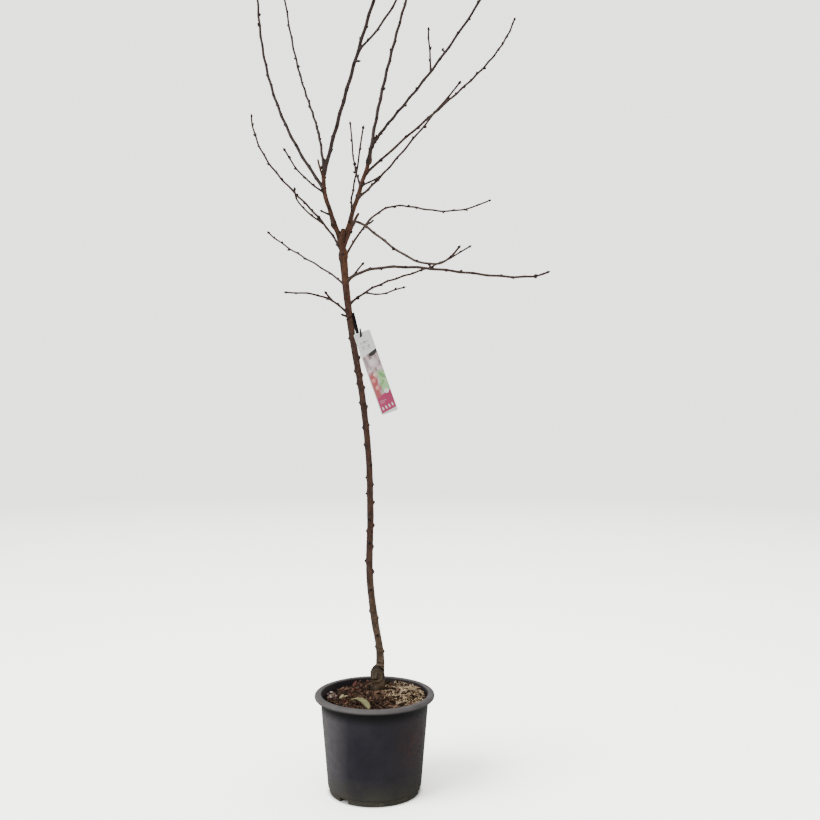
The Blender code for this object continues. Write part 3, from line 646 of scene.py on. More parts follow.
for index in range(CRUMBS):
    x, y = scatter(rng)
    if in_straw(x, y) > 0.3 and rng.random() < 0.6:
        continue
    size = rng.uniform(0.0014, 0.0042)
    points, faces = crumb(rng, size)
    crumbs.add(lie(points, x, y, ground(x, y) + size * rng.uniform(0.0, 0.35), rng.uniform(0, 6.28),
                   0.0, 0.0), faces, rng.random())

fibres = Heap()


def fibre(rng, x, y, length, thickness, lift, turn, rise):
    """One bent straw that lies on what is under it."""
    bend = rng.uniform(-0.07, 0.07)
    points = []
    for step in range(7):
        run = length * (step / 6 - 0.5)
        px = x + run * math.cos(turn + bend * step)
        py = y + run * math.sin(turn + bend * step)
        px, py = px * 0.999, py * 0.999
        far = math.hypot(px, py)
        if far > 0.131:
            px, py = px * 0.131 / far, py * 0.131 / far
        height = max(ground(px, py), soil_height(px, py) - 0.004) + lift + rise * (step / 6 - 0.5)
        points.append((px, py, min(height, POT_HEIGHT - 0.001)))
    line = finer(points, 2)
    radii = np.full(len(line), thickness / 2) * (1 + 0.15 * np.sin(np.arange(len(line)) * 1.7))
    radii[0] *= 0.6
    radii[-1] *= 0.5
    return swept(line, radii, 5)


for index in range(STRAWS):
    x = rng.gauss(STRAW_MIDDLE[0], STRAW_REACH[0] * 0.45)
    y = rng.gauss(STRAW_MIDDLE[1], STRAW_REACH[1] * 0.45)
    if in_straw(x, y) <= 0.0 or math.hypot(x, y) > LITTER_RADIUS:
        continue
    length = rng.uniform(0.007, 0.021)
    lift = rng.uniform(0.0003, 0.0070)
    tone = rng.uniform(0.0, 0.3) if rng.random() < 0.4 else rng.uniform(0.55, 1.0)
    fibres.add(*fibre(rng, x, y, length, rng.uniform(0.0011, 0.0026), lift, rng.uniform(0, 6.28),
                      rng.uniform(-0.007, 0.007)), tone)
for index in range(THIN_FIBRES):
    x, y = scatter(rng)
    fibres.add(*fibre(rng, x, y, rng.uniform(0.008, 0.030), rng.uniform(0.0005, 0.0012),
                      rng.uniform(0.0002, 0.0022), rng.uniform(0, 6.28), rng.uniform(-0.002, 0.002)),
               rng.uniform(0.0, 0.45))

# Pale crumbs in three heaps at the left, and all over: how many, their middle and spread across
# and along, their sizes and tones, and how high they lie.
grit = Heap()
for count, across, along, sizes, tones, lifts in (
        (36, (-0.112, 0.0080), (0.022, 0.010), (0.0035, 0.0080), (0.2, 1.0), (0.0, 0.0090)),
        (6, (-0.0860, 0.0040), (0.012, 0.004), (0.0070, 0.0120), (0.0, 0.12), (0.0, 0.0045)),
        (3, (-0.1265, 0.0015), (-0.007, 0.002), (0.0045, 0.0065), (0.9, 1.0), None),
        (50, None, None, (0.0015, 0.0036), (0.0, 1.0), None)):
    for index in range(count):
        x, y = (rng.gauss(*across), rng.gauss(*along)) if across else scatter(rng)
        size, tone = rng.uniform(*sizes), rng.uniform(*tones)
        lift = rng.uniform(*lifts) if lifts else 0.0
        if math.hypot(x, y) > LITTER_RADIUS:
            continue
        points, faces = crumb(rng, size, 2)
        height = ground(x, y) + lift + size * 0.35
        grit.add(lie(points, x, y, height, rng.uniform(0, 6.28), 0.0, 0.0), faces, tone)


def litter_material(name, roughness, scale, depth, *stops):
    """Finish for loose litter: one tone a piece from dark to light, with a fine grain on it."""
    look = Look(name, roughness, 0.2)
    ramp = node(look.tree, "ValToRGB", {0: look.mark("tone")})
    ramp.color_ramp.elements[0].color = (*stops[0], 1.0)
    ramp.color_ramp.elements[1].color = (*stops[-1], 1.0)
    for index, stop in enumerate(stops[1:-1]):
        ramp.color_ramp.elements.new((index + 1) / (len(stops) - 1)).color = (*stop, 1.0)
    grain = speckle(look.place, scale, 4.0, 0.7)
    look.colour = scaled(ramp.outputs[0], spread(grain, 0.3, 0.7, 0.55, 1.35))
    return look.finish(grain, depth, 0.8)


chips.piece("bark_chips", "soil", litter_material(
    "bark chips", 0.85, 700.0, 0.0006, (0.006, 0.0035, 0.0025), (0.034, 0.017, 0.011),
    (0.115, 0.060, 0.037), (0.230, 0.135, 0.090), (0.125, 0.040, 0.031)))
crumbs.piece("soil_crumbs", "soil", litter_material(
    "soil crumbs", 0.95, 900.0, 0.0006, (0.005, 0.0032, 0.0024), (0.018, 0.010, 0.007),
    (0.078, 0.047, 0.029), (0.26, 0.17, 0.105)))
fibres.piece("straw_fibres", "soil", litter_material(
    "dry straw", 0.75, 800.0, 0.0004, (0.024, 0.014, 0.008), (0.11, 0.068, 0.036),
    (0.52, 0.380, 0.225), (0.84, 0.67, 0.45)))
grit.piece("pale_crumbs", "soil", litter_material(
    "lime and wood crumbs", 0.9, 900.0, 0.0006, (0.56, 0.49, 0.28), (0.12, 0.080, 0.060),
    (0.32, 0.22, 0.19), (0.60, 0.49, 0.46)))

# Dead leaf, bent over in an arch with its tip at the front right, and a dark bit of root.
leaf_line = finer([(-0.0600, -0.0510, 0.2480), (-0.0472, -0.0545, 0.2535), (-0.0338, -0.0660, 0.2560),
                   (-0.0217, -0.0830, 0.2522), (-0.0142, -0.0965, 0.2465), (-0.0126, -0.1020, 0.2425)], 6)
leaf_points, leaf_faces = [], []
for index, (point, tangent) in enumerate(zip(leaf_line, frames_along(leaf_line)[0])):
    share = index / (len(leaf_line) - 1)
    half = LEAF_HALF_WIDTH * math.sin(math.pi * min(1.0, 0.06 + 0.94 * share)) ** 0.75 + 0.0004
    flat = np.cross(tangent, (0.0, 0.0, 1.0))
    flat /= np.linalg.norm(flat)
    upper = np.cross(flat, tangent)
    for column in range(LEAF_ACROSS + 1):
        across = 2 * column / LEAF_ACROSS - 1
        fold = 0.0032 * abs(across) ** 1.4 - 0.0007 * math.cos(index * 1.4) * abs(across)
        leaf_points.append(point + flat * half * across + upper * fold)
for index in range(len(leaf_line) - 1):
    for column in range(LEAF_ACROSS):
        a = index * (LEAF_ACROSS + 1) + column
        leaf_faces.append((a, a + 1, a + LEAF_ACROSS + 2, a + LEAF_ACROSS + 1))
veins = [2 * (i % (LEAF_ACROSS + 1)) / LEAF_ACROSS - 1 for i in range(len(leaf_points))]
leaf = mesh_piece("dry_leaf", leaf_points, leaf_faces, {"across": veins})
modify(leaf, "SOLIDIFY", thickness=LEAF_THICKNESS, offset=0.0)
settle(leaf)
look = Look("withered leaf", 0.6, 0.3)
look.ground(spread(speckle(look.place, 90.0, 4.0), 0.35, 0.65),
            (0.160, 0.170, 0.072), (0.310, 0.295, 0.140))
from_rib = maths("ABSOLUTE", look.mark("across"))
look.over(spread(from_rib, 0.10, 0.02), (0.42, 0.41, 0.24))
look.over(spread(from_rib, 0.6, 1.0), (0.17, 0.11, 0.05), 0.7)
hand_over(leaf, look.finish(speckle(look.place, 500.0, 4.0), 0.0006, 0.7), "soil")

root_line = finer([(0.027, 0.035, 0.2500), (0.041, 0.033, 0.2560), (0.051, 0.030, 0.2580),
                   (0.061, 0.026, 0.2570), (0.070, 0.018, 0.2525), (0.077, 0.010, 0.2450)], 6)
sprig_line = finer([(0.030, 0.072, 0.2470), (0.033, 0.075, 0.2580), (0.038, 0.077, 0.2680)], 4)
litter_bits = Heap()
litter_bits.add(*swept(root_line, np.linspace(0.0026, 0.0015, len(root_line)), 8), 0.1)
litter_bits.add(*swept(sprig_line, np.linspace(0.0014, 0.0007, len(sprig_line)), 6), 0.3)
for index in range(MOSS_CRUMBS):
    at = rng.uniform(0.1, 1.0)
    base = sprig_line[int(at * (len(sprig_line) - 1))]
    points, faces = crumb(rng, rng.uniform(0.0020, 0.0042))
    points = lie(points, base[0] + rng.gauss(0, 0.0030), base[1] + rng.gauss(0, 0.0030),
                 base[2] + rng.gauss(0, 0.0016), 0.0, 0.0, 0.0)
    litter_bits.add(points, faces, rng.uniform(0.3, 1.0))
litter_bits.piece("root_and_moss", "soil", litter_material(
    "root and moss", 0.9, 900.0, 0.0006, (0.014, 0.009, 0.007), (0.030, 0.022, 0.013),
    (0.075, 0.062, 0.032), (0.11, 0.10, 0.05)))


# Trunk and limbs: living peach wood with thin bark, grafted low on a seedling whose top was
# cut off above the graft and has healed over. The trunk forks at 1.4 metres into two limbs
# and a short pruned leader, and a low stem arches off the right limb.

# Trunk stations: height, sideways place and thickness, from the soil to the fork.
TRUNK_STATIONS = ((0.240, 0.006, 0.038), (0.265, 0.009, 0.031), (0.340, 0.013, 0.0200),
                  (0.440, -0.002, 0.0190), (0.550, -0.014, 0.0180), (0.720, -0.012, 0.0170),
                  (0.880, -0.017, 0.0160), (1.030, -0.033, 0.0160), (1.190, -0.059, 0.0170),
                  (1.300, -0.073, 0.0180), (1.405, -0.082, 0.0205))
TRUNK_FOOT_DEPTH = 0.050
TRUNK_FORK_DEPTH = 0.020
TRUNK_RING_SPACING = 0.030
KNOB_CENTRE = (0.006, 0.047, 0.286)
KNOB_RADII = (0.0195, 0.0175, 0.031)
OLD_CUT_RADIUS = 0.0105
OLD_CUT_FOOT_RADIUS = 0.0126
OLD_CUT_REACH = 0.021
OLD_CUT_DIRECTION = (-0.40, -0.85, 0.34)
CUT_FACE = (0.0066, 0.028, 0.2915)
CUT_HALF = (0.0172, 0.0205)
CUT_LEAN = 0.12
NODE_SPACING = 0.030
LEAN_AT_FOOT = 1.50
LEAN_AT_TIP = 0.45
ZIGZAG = 0.0008
WOOD_GRAIN = 0.00115
BARK_THICKNESS = 0.0005
# Ledges of old buds: height, degrees round to the right from the front, and size.
LEDGES = ((0.352, 80, 0.9), (0.364, -78, 0.7), (0.397, 8, 0.8), (0.442, 72, 0.8), (0.460, -75, 0.7),
          (0.505, -160, 0.6), (0.518, 5, 1.0), (0.564, 78, 1.3), (0.593, -80, 1.0), (0.631, 84, 0.7),
          (0.642, 2, 1.1), (0.673, -82, 0.6), (0.688, 80, 1.0), (0.704, -25, 1.0), (0.725, 165, 0.8),
          (0.748, 76, 1.2), (0.772, -84, 0.8), (0.796, 86, 0.6), (0.814, -72, 0.8), (0.847, 30, 1.0),
          (0.868, 150, 0.8), (0.900, -78, 0.8), (0.945, -85, 0.7), (0.952, 82, 0.6), (0.978, 170, 0.9),
          (1.000, 80, 1.1), (1.010, -76, 0.9), (1.050, 78, 1.1), (1.060, -80, 0.8), (1.083, 84, 0.9),
          (1.093, -78, 0.9), (1.110, 175, 0.8), (1.128, 74, 1.3), (1.165, 160, 0.7), (1.178, -80, 0.8))

# Stems: name, parent, share of the way along it, tip, directions at foot and tip in degrees
# from +X towards +Z, thickness at foot and tip, and how strongly each end holds its direction.
LIMBS = (
    ("left_limb", "trunk", 0.985, (-0.129, -0.01, 1.602), 96, 84, (0.0132, 0.0098)),
    ("right_limb", "trunk", 0.985, (-0.012, 0.03, 1.648), 110, 75, (0.0136, 0.0098), (0.12, 0.36)),
    ("arch_stem", "right_limb", 0.05, (-0.038, -0.02, 1.497), 68, 60, (0.0076, 0.0062)),
    ("leader_stub", "left_limb", 0.12, (-0.0800, 0.004, 1.460), 88, 84, (0.0115, 0.0105)),
    ("left_limb_stub", "left_limb", 0.90, (-0.143, -0.02, 1.634), 112, 104, (0.0046, 0.0050)),
)


def smooth_through(column, height):
    """Value of one column of the trunk's stations at a height, on a smooth line through them."""
    heights = [station[0] for station in TRUNK_STATIONS]
    values = [station[column] for station in TRUNK_STATIONS]
    slopes = np.gradient(values, heights)
    index = min(max(bisect.bisect(heights, height) - 1, 0), len(heights) - 2)
    span = heights[index + 1] - heights[index]
    t = (height - heights[index]) / span
    return float((1 + 2 * t) * (1 - t) ** 2 * values[index] + t * (1 - t) ** 2 * span * slopes[index]
                 + t * t * (3 - 2 * t) * values[index + 1] + t * t * (t - 1) * span * slopes[index + 1])


def trunk_point(height):
    share = (height - TRUNK_STATIONS[0][0]) / (TRUNK_STATIONS[-1][0] - TRUNK_STATIONS[0][0])
    depth = TRUNK_FOOT_DEPTH + (TRUNK_FORK_DEPTH - TRUNK_FOOT_DEPTH) * share
    return Vector((smooth_through(1, height), depth, height))


def trunk_line():
    """Centreline points and thicknesses of the trunk."""
    bottom, top = TRUNK_STATIONS[0][0], TRUNK_STATIONS[-1][0]
    count = round((top - bottom) / TRUNK_RING_SPACING)
    heights = [bottom + (top - bottom) * index / count for index in range(count + 1)]
    return [trunk_point(z) for z in heights], [smooth_through(2, z) for z in heights]


def flat_direction(degrees):
    angle = math.radians(degrees)
    return Vector((math.cos(angle), 0.0, math.sin(angle)))


def place_on(line, share):
    """Point at a share of the way along a line of points, and its thickness there."""
    points, widths = line
    steps = [(b - a).length for a, b in zip(points, points[1:])]
    goal = share * sum(steps)
    for index, step in enumerate(steps):
        if goal <= step or index == len(steps) - 1:
            part = min(goal / step, 1.0)
            return (points[index].lerp(points[index + 1], part),
                    widths[index] + (widths[index + 1] - widths[index]) * part)
        goal -= step


def stem_line(parent, share, tip, sets_off, arrives, thickness, reach=(0.33, 0.33)):
    """Centreline points and thicknesses of a stem, one point at each node of its wood."""
    foot = place_on(lines[parent], share)[0]
    tip = Vector(tip)
    chord = (tip - foot).length
    lean = tip.y - foot.y
    first = foot + flat_direction(sets_off) * reach[0] * chord
    last = tip - flat_direction(arrives) * reach[1] * chord
    first.y = foot.y + reach[0] * LEAN_AT_FOOT * lean
    last.y = tip.y - reach[1] * LEAN_AT_TIP * lean
    count = max(3, round(chord / NODE_SPACING) + 1)
    points = interpolate_bezier(foot, first, last, tip, count)
    widths = []
    for index, point in enumerate(points):
        part = index / (count - 1)
        widths.append(thickness[0] + (thickness[1] - thickness[0]) * part)
        if 1 < index < count - 1:
            along = (points[index + 1] - points[index - 1]).normalized()
            side = along.cross(Vector((0.0, 1.0, 0.0))).normalized()
            point += side * ZIGZAG * (1 if index % 2 else -1)
    return points, widths


def fine_line(name, times_finer):
    """A stem's centreline and radii, that many times finer."""
    points, widths = lines[name]
    return finer([tuple(point) for point in points], times_finer), finer(widths, times_finer) / 2


lines = {"trunk": trunk_line()}
for name, *shape in LIMBS:
    lines[name] = stem_line(*shape)


def runs_along(points):
    """How far along a line each of its points is."""
    return np.concatenate([[0.0], np.cumsum(np.linalg.norm(np.diff(points, axis=0), axis=1))])


wood_form = Heap()
wood_line = {}
for name, times_finer, sides in (("trunk", 6, 26), ("left_limb", 6, 20), ("right_limb", 6, 20),
                                 ("arch_stem", 8, 16), ("leader_stub", 6, 18),
                                 ("left_limb_stub", 6, 12)):
    points, radii = fine_line(name, times_finer)
    wood_line[name] = points
    if name == "trunk":
        radii = np.array([smooth_through(2, z) / 2 for z in points[:, 2]])
    # The cut ends are rounded over by callus.
    ends = np.linalg.norm(points - points[-1], axis=1)
    radii = radii * np.sqrt(np.clip(1 - np.clip(1 - ends / (radii * 0.7), 0, 1) ** 2, 0.02, 1))
    wood_form.add(*swept(points, radii + BARK_THICKNESS, sides))
for centre, radii in ((KNOB_CENTRE, KNOB_RADII), (trunk_point(1.392), (0.0128, 0.0112, 0.024)),
                      (lines["leader_stub"][0][-1] - Vector((0, 0, 0.004)), (0.0060, 0.0058, 0.0050)),
                      (lines["left_limb"][0][-1] - Vector((0, 0, 0.006)), (0.0064, 0.0064, 0.011)),
                      (lines["right_limb"][0][-1] - Vector((0, 0, 0.008)), (0.0064, 0.0064, 0.012))):
    cage = bmesh.new()
    bmesh.ops.create_icosphere(cage, subdivisions=4, radius=1.0,
                               matrix=Matrix.Translation(centre) @ Matrix.Diagonal((*radii, 1.0)))
    wood_form.add(*listed(cage))
old_cut = Vector(OLD_CUT_DIRECTION).normalized()
cut_points = [tuple(Vector(KNOB_CENTRE) + old_cut * OLD_CUT_REACH * step / 6) for step in range(7)]
wood_form.add(*swept(cut_points, np.linspace(OLD_CUT_FOOT_RADIUS, OLD_CUT_RADIUS, 7), 28))
wood = wood_form.mesh("bark_relief")
modify(wood, "REMESH", mode="VOXEL", voxel_size=WOOD_GRAIN, use_smooth_shade=True)
modify(wood, "SMOOTH", factor=0.5, iterations=5)
settle(wood)


def bell(value, width):
    return np.exp(-(value / width) ** 2)


def read_places(source, key):
    values = np.empty(len(source) * 3)
    source.foreach_get(key, values)
    return values.reshape(-1, 3)


def far_from(centre, squeeze=1.0):
    """How far each point of the wood is from a place, with the axes squeezed by three factors."""
    return np.linalg.norm((wood_points - np.array(centre)) * squeeze, axis=1)


def outward(degrees):
    """Level direction, by degrees round to the right from the front."""
    return Vector((math.sin(math.radians(degrees)), -math.cos(math.radians(degrees)), 0.0))


# Every point of the bark looks up the nearest centreline, and is placed along and round it.
samples = np.vstack(list(wood_line.values()))
sample_frames = np.concatenate([np.stack(frames_along(line), axis=1) for line in wood_line.values()])
sample_runs = np.concatenate([runs_along(line) + (0.0 if name == "trunk" else 1.2)
                              for name, line in wood_line.items()])
tree_of_samples = KDTree(len(samples))
for index, point in enumerate(samples):
    tree_of_samples.insert(point, index)
tree_of_samples.balance()
wood_points = read_places(wood.data.vertices, "co")
wood_normals = read_places(wood.data.vertex_normals, "vector")
nearest = np.array([tree_of_samples.find(point)[1] for point in wood_points])
trunk_here = nearest < len(wood_line["trunk"])
offset = wood_points - samples[nearest]
ahead, aside, afore = np.einsum("ij,ikj->ki", offset, sample_frames[nearest])
run = sample_runs[nearest] + ahead
turn = np.arctan2(afore, aside)
level = wood_points[:, 2]
bark_place = np.stack([0.01 * np.cos(turn), 0.01 * np.sin(turn), run], axis=1)

rise = np.zeros(len(wood_points))
for index, (a, b, c) in enumerate(bark_place):
    slow = noise.noise(Vector((a * 70.0, b * 70.0, c * 26.0)))
    medium = noise.fractal(Vector((a * 230.0, b * 230.0, c * 130.0)), 0.9, 2.1, 3)
    cross = noise.noise(Vector((a * 120.0, b * 120.0, c * 900.0)))
    rise[index] = 0.00055 * slow + 0.00022 * medium + 0.00010 * cross
# Root flare, ring scars of the old grafting tie, and the ledges of old buds.
flare = np.clip((0.300 - level) / 0.05, 0, 1)
rise += 0.0016 * flare * np.cos(4 * turn + 0.7 + 40 * (level - 0.25))
scar = np.zeros(len(wood_points))
for height, depth, phase in ((0.3215, 0.8, 1.7), (0.333, 0.35, 3.0)):
    ring = bell(level - height - 0.0012 * np.sin(turn + phase), 0.0011)
    lip = bell(level - height - 0.0030, 0.0016)
    rise += depth * (0.0004 * lip - 0.0006 * ring)
    scar = np.maximum(scar, 0.6 * depth * ring)
for height, degrees, size in LEDGES:
    near = far_from(trunk_point(height) + outward(degrees) * (smooth_through(2, height) / 2))
    rise += 0.0030 * size * bell(near, 0.0052) * trunk_here
    scar = np.maximum(scar, min(size, 1.0) * 0.95 * bell(near, 0.0040 * size))
    ring = bell(level - height + 0.0035, 0.0016) * trunk_here
    rise -= 0.00016 * ring
    scar = np.maximum(scar, 0.35 * ring)
# Dark scar below the fork, where a shoot was rubbed off, and one on each pruned stub.
for centre, size in (((-0.0885, 0.0110, 1.375), 0.0066), ((-0.080, 0.004, 1.398), 0.0035),
                     ((-0.0815, -0.0030, 1.441), 0.0052), ((-0.1005, -0.004, 1.474), 0.0040),
                     ((0.0099, 0.0375, 0.3240), 0.0042), ((-0.0045, 0.0370, 0.3125), 0.0046),
                     ((-0.0800, 0.0020, 1.4600), 0.0065), ((-0.0724, 0.0130, 1.2935), 0.0040),
                     ((-0.0700, 0.0120, 1.3251), 0.0026), ((-0.0827, 0.0080, 1.3935), 0.0062),
                     ((-0.1020, -0.0040, 1.4660), 0.0080)):
    near = far_from(centre, (1.0, 1.0, 1.5))
    rise += 0.0006 * bell(near - size, 0.0016) - 0.0008 * bell(near, size * 0.6)
    scar = np.maximum(scar, 0.95 * bell(near, size))
# Knuckle on the left limb where a side shoot was cut away.
near = far_from((-0.1050, -0.002, 1.468), (1.0, 1.0, 0.55))
rise += 0.0070 * bell(near, 0.0072)
scar = np.maximum(scar, 0.9 * bell(near, 0.0062))
# Healed face of the old cut: a dark seam over its top and right, a rolled lip of callus inside
# that, and a face wound inwards.
from_cut = wood_points - np.array(CUT_FACE)
across = (from_cut[:, 0] * math.cos(CUT_LEAN) + from_cut[:, 2] * math.sin(CUT_LEAN)) / CUT_HALF[0]
above = (from_cut[:, 2] * math.cos(CUT_LEAN) - from_cut[:, 0] * math.sin(CUT_LEAN)) / CUT_HALF[1]
front = np.clip((KNOB_CENTRE[1] - 0.002 - wood_points[:, 1]) / 0.004, 0, 1)
spin = np.hypot(across, above)
around = np.degrees(np.arctan2(above, across))
seam_side = np.clip((around + 55) / 25, 0, 1) * np.clip((150 - around) / 20, 0, 1)
face = front / (1 + np.exp((spin - 0.94) / 0.035))
whorl = np.cos(spin * 2 * math.pi * 2.6 + np.radians(around))
seam = front * bell(spin - 1.0, 0.125)
rise += front * (0.0015 * bell(spin - 0.78, 0.13) - 0.0020 * bell(spin, 0.30))
rise -= 0.0022 * seam * seam_side
rise += 0.00045 * whorl * face
knob = bell(far_from(KNOB_CENTRE, 1 / np.array(KNOB_RADII)) - 0.9, 0.45)
for index in np.nonzero(knob > 0.2)[0]:
    point = Vector(wood_points[index])
    rise[index] += 0.0011 * knob[index] * noise.fractal(point * 120.0, 0.9, 2.0, 3)
scar = np.maximum(scar, np.minimum(1.4 * seam * seam_side, 1.0))
scar = np.maximum(scar, 0.45 * np.clip(whorl, 0, 1) * face)
scar = np.maximum(scar, 0.8 * front * bell(spin, 0.16))
# The foot is stained by the soil, and paler callus shows at the right below the face and in a
# collar above it.
stained = np.clip((0.266 - level) / 0.012, 0, 1)
near = far_from((0.0185, 0.034, 0.2745), (1, 0.7, 0.7))
pale = np.maximum(front * bell(near, 0.0125), 0.8 * bell(level - 0.3180 - 0.0010 * np.cos(turn), 0.0026))
wood_points += wood_normals * rise[:, None]
wood.data.vertices.foreach_set("co", wood_points.ravel())
set_marks(wood.data, {"bark_age": np.clip((level - 0.25) / 1.4, 0, 1), "scar": scar, "healed": face,
                      "knob": knob, "stained": stained, "callus": pale, "bark_place": bark_place})

# Peach bark, old or young: blotches, a grey bloom, pale cross-wise pores and a fine grain, with painted
# light and shade that makes the right side lighter and the left darker.
bark, given, wanted = new_group("peach bark", {"Place": None, "Pore size": 0.002, "Cover": 0.5},
                                ("Blotch", "Bloom", "Pores", "Grain", "Painted light and shade"))
place = given["Place"]
bloom = spread(speckle(stretched(place, 1.0, 1.0, 0.6), 95.0, 5.0, 0.68), 0.44, 0.62)
dots = node(bark, "TexVoronoi", {"Vector": stretched(place, 0.5, 0.5, 1.4), "Randomness": 1.0,
                                 "Scale": maths("DIVIDE", 1.0, given["Pore size"])}).outputs
some = spread(axis(dots["Color"], "X"), 0.42, 0.50)
facing = axis(node(bark, "TexCoord").outputs["Normal"], "X")
for label, value in (("Blotch", speckle(stretched(place, 1.0, 1.0, 0.35), 160.0, 4.0, 0.6)),
                     ("Bloom", times(bloom, given["Cover"])),
                     ("Pores", times(spread(dots["Distance"], 0.30, 0.16), some)),
                     ("Grain", speckle(stretched(place, 1.0, 1.0, 4.5), 330.0, 4.0, 0.6)),
                     ("Painted light and shade", spread(facing, -0.9, 0.9))):
    bark.links.new(value, wanted[label])


def bark_skin(look, pore_size, cover):
    inputs = {"Place": look.mark("bark_place", "Vector"), "Pore size": pore_size, "Cover": cover}
    return node(look.tree, "Group", inputs, node_tree=bark).outputs


look = Look("trunk bark", 0.62, 0.3)
skin = bark_skin(look, 0.0042, 0.4)
blotched = spread(skin["Blotch"], 0.38, 0.60)
olive = mixed(blotched, (0.056, 0.036, 0.019), (0.140, 0.094, 0.056))
brown = mixed(blotched, (0.020, 0.0074, 0.0042), (0.076, 0.0300, 0.0160))
reddish = mixed(blotched, (0.034, 0.0108, 0.0044), (0.118, 0.041, 0.0150))
age = look.mark("bark_age")
look.ground(spread(age, 0.05, 0.28), olive, brown)
look.over(spread(age, 0.66, 0.78), reddish)
look.over(skin["Bloom"], (0.096, 0.050, 0.034))
look.over(skin["Pores"], (0.15, 0.095, 0.062), 0.6)
# Painted light and shade: the bark is made lighter on its right side and darker on its left.
look.colour = scaled(look.colour, spread(skin["Painted light and shade"], 0.0, 1.0, 0.60, 1.55))
look.over(look.mark("healed"), (0.074, 0.053, 0.028), 0.8)
mottle = spread(speckle(look.place, 260.0, 5.0, 0.7), 0.45, 0.62)
look.over(times(look.mark("knob"), mottle), (0.036, 0.025, 0.013))
look.over(look.mark("callus"), (0.190, 0.136, 0.085), 0.9)
look.over(look.mark("stained"), (0.030, 0.018, 0.010), 0.75)
look.over(look.mark("scar"), (0.0065, 0.0035, 0.0025), 0.92)
raised = maths("ADD", skin["Grain"], times(skin["Pores"], 0.6))
wood_finish = look.finish(raised, 0.0006, 0.9, spread(skin["Bloom"], 0.0, 0.7, 0.52, 0.74))
hand_over(wood, wood_finish, "bark", "trunk", "left_limb", "right_limb", "arch_stem")


# Shoots: last summer's growth, each fused by its collar to the stem that bears it, with a
# slight bend and swelling at every node. The short spurs and side twigs grow the same way.

SHOOTS = (
    ("low_left_shoot", "trunk", 0.858, (-0.228, -0.05, 1.292), 134, 178, (0.0046, 0.0030), (0.42, 0.36)),
    ("low_right_shoot", "trunk", 0.879, (0.262, 0.18, 1.439), 45, 34, (0.0048, 0.0032), (0.34, 0.46)),
    ("mid_left_shoot", "trunk", 0.922, (-0.295, 0.14, 1.472), 137, 137, (0.0040, 0.0028)),
    ("long_right_shoot", "trunk", 0.930, (0.438, -0.12, 1.338), 45, 30, (0.0066, 0.0038), (0.25, 0.20)),
    ("upper_right_shoot", "trunk", 0.980, (0.319, 0.22, 1.570), 66, 27, (0.0048, 0.0032), (0.67, 0.51)),
    ("outer_left_shoot", "left_limb", 0.02, (-0.330, 0.10, 1.778), 112, 94, (0.0052, 0.0032), (0.35, 0.38)),
    ("arching_shoot", "arch_stem", 0.69, (0.211, -0.25, 1.386), 74, 59, (0.0058, 0.0036), (0.14, 0.44)),
    ("left_outer_leader", "left_limb", 0.80, (-0.318, 0.12, 2.300), 126, 91, (0.0072, 0.0038),
     (0.42, 0.36)),
    ("left_back_leader", "left_limb", 0.93, (-0.282, 0.26, 2.342), 94, 96, (0.0060, 0.0035),
     (0.31, 0.71)),
    ("left_main_leader", "left_limb", 0.97, (0.164, -0.20, 2.440), 73, 70, (0.0090, 0.0044)),
    ("left_short_shoot", "left_limb", 0.76, (-0.224, -0.08, 1.649), 154, 118, (0.0038, 0.0030)),
    ("right_main_leader", "right_limb", 0.97, (0.170, 0.25, 2.430), 83, 75, (0.0084, 0.0042)),
    ("right_front_leader", "right_limb", 0.93, (0.425, -0.24, 2.252), 88, 62, (0.0074, 0.0038),
     (0.12, 0.74)),
    ("right_outer_leader", "right_limb", 0.83, (0.377, 0.15, 2.048), 45, 70, (0.0056, 0.0036),
     (0.60, 0.24)),
    ("right_mid_shoot", "right_limb", 0.59, (0.218, -0.12, 1.803), 32, 49, (0.0054, 0.0034), (0.17, 0.60)),
    ("inner_back_shoot", "right_limb", 0.70, (-0.069, 0.13, 1.765), 107, 95, (0.0042, 0.0030),
     (0.21, 0.70)),
    ("inner_front_shoot", "right_limb", 0.45, (-0.021, -0.13, 1.693), 108, 81, (0.0040, 0.0030),
     (0.12, 0.70)),
)
TWIGS = (
    ("trunk_bud_twig", "trunk", 0.853, (-0.089, 0.02, 1.241), 168, 162, (0.0036, 0.0028)),
    ("low_left_spur", "low_left_shoot", 0.31, (-0.128, -0.01, 1.299), 118, 112, (0.0038, 0.0036)),
    ("low_right_twig", "low_right_shoot", 0.16, (0.082, 0.00, 1.310), -22, 14, (0.0034, 0.0026)),
    ("long_right_twig", "long_right_shoot", 0.05, (-0.025, 0.00, 1.374), 62, 54, (0.0036, 0.0032)),
    ("upper_right_spur", "upper_right_shoot", 0.24, (-0.002, 0.05, 1.489), 10, 20, (0.0028, 0.0034)),
    ("outer_left_twig", "outer_left_shoot", 0.22, (-0.203, -0.02, 1.563), 152, 88, (0.0036, 0.0030)),
    ("left_limb_spur", "left_limb", 0.50, (-0.140, -0.01, 1.505), 160, 150, (0.0030, 0.0034)),
    ("main_leader_twig", "left_main_leader", 0.345, (0.152, -0.25, 2.170), 34, 68, (0.0046, 0.0034)),
    ("main_leader_spur", "left_main_leader", 0.315, (-0.028, -0.10, 1.856), 0, 16, (0.0030, 0.0034)),
    ("right_leader_twig", "right_main_leader", 0.62, (0.062, 0.19, 2.260), 128, 96, (0.0040, 0.0030)),
    ("front_leader_twig", "right_front_leader", 0.36, (0.138, -0.10, 1.940), 92, 90, (0.0034, 0.0028)),
    ("front_leader_spur", "right_front_leader", 0.43, (0.171, -0.11, 1.884), 112, 100, (0.0030, 0.0034)),
    ("right_limb_spur", "right_limb", 0.71, (0.020, -0.03, 1.590), 14, 28, (0.0038, 0.0036)),
)
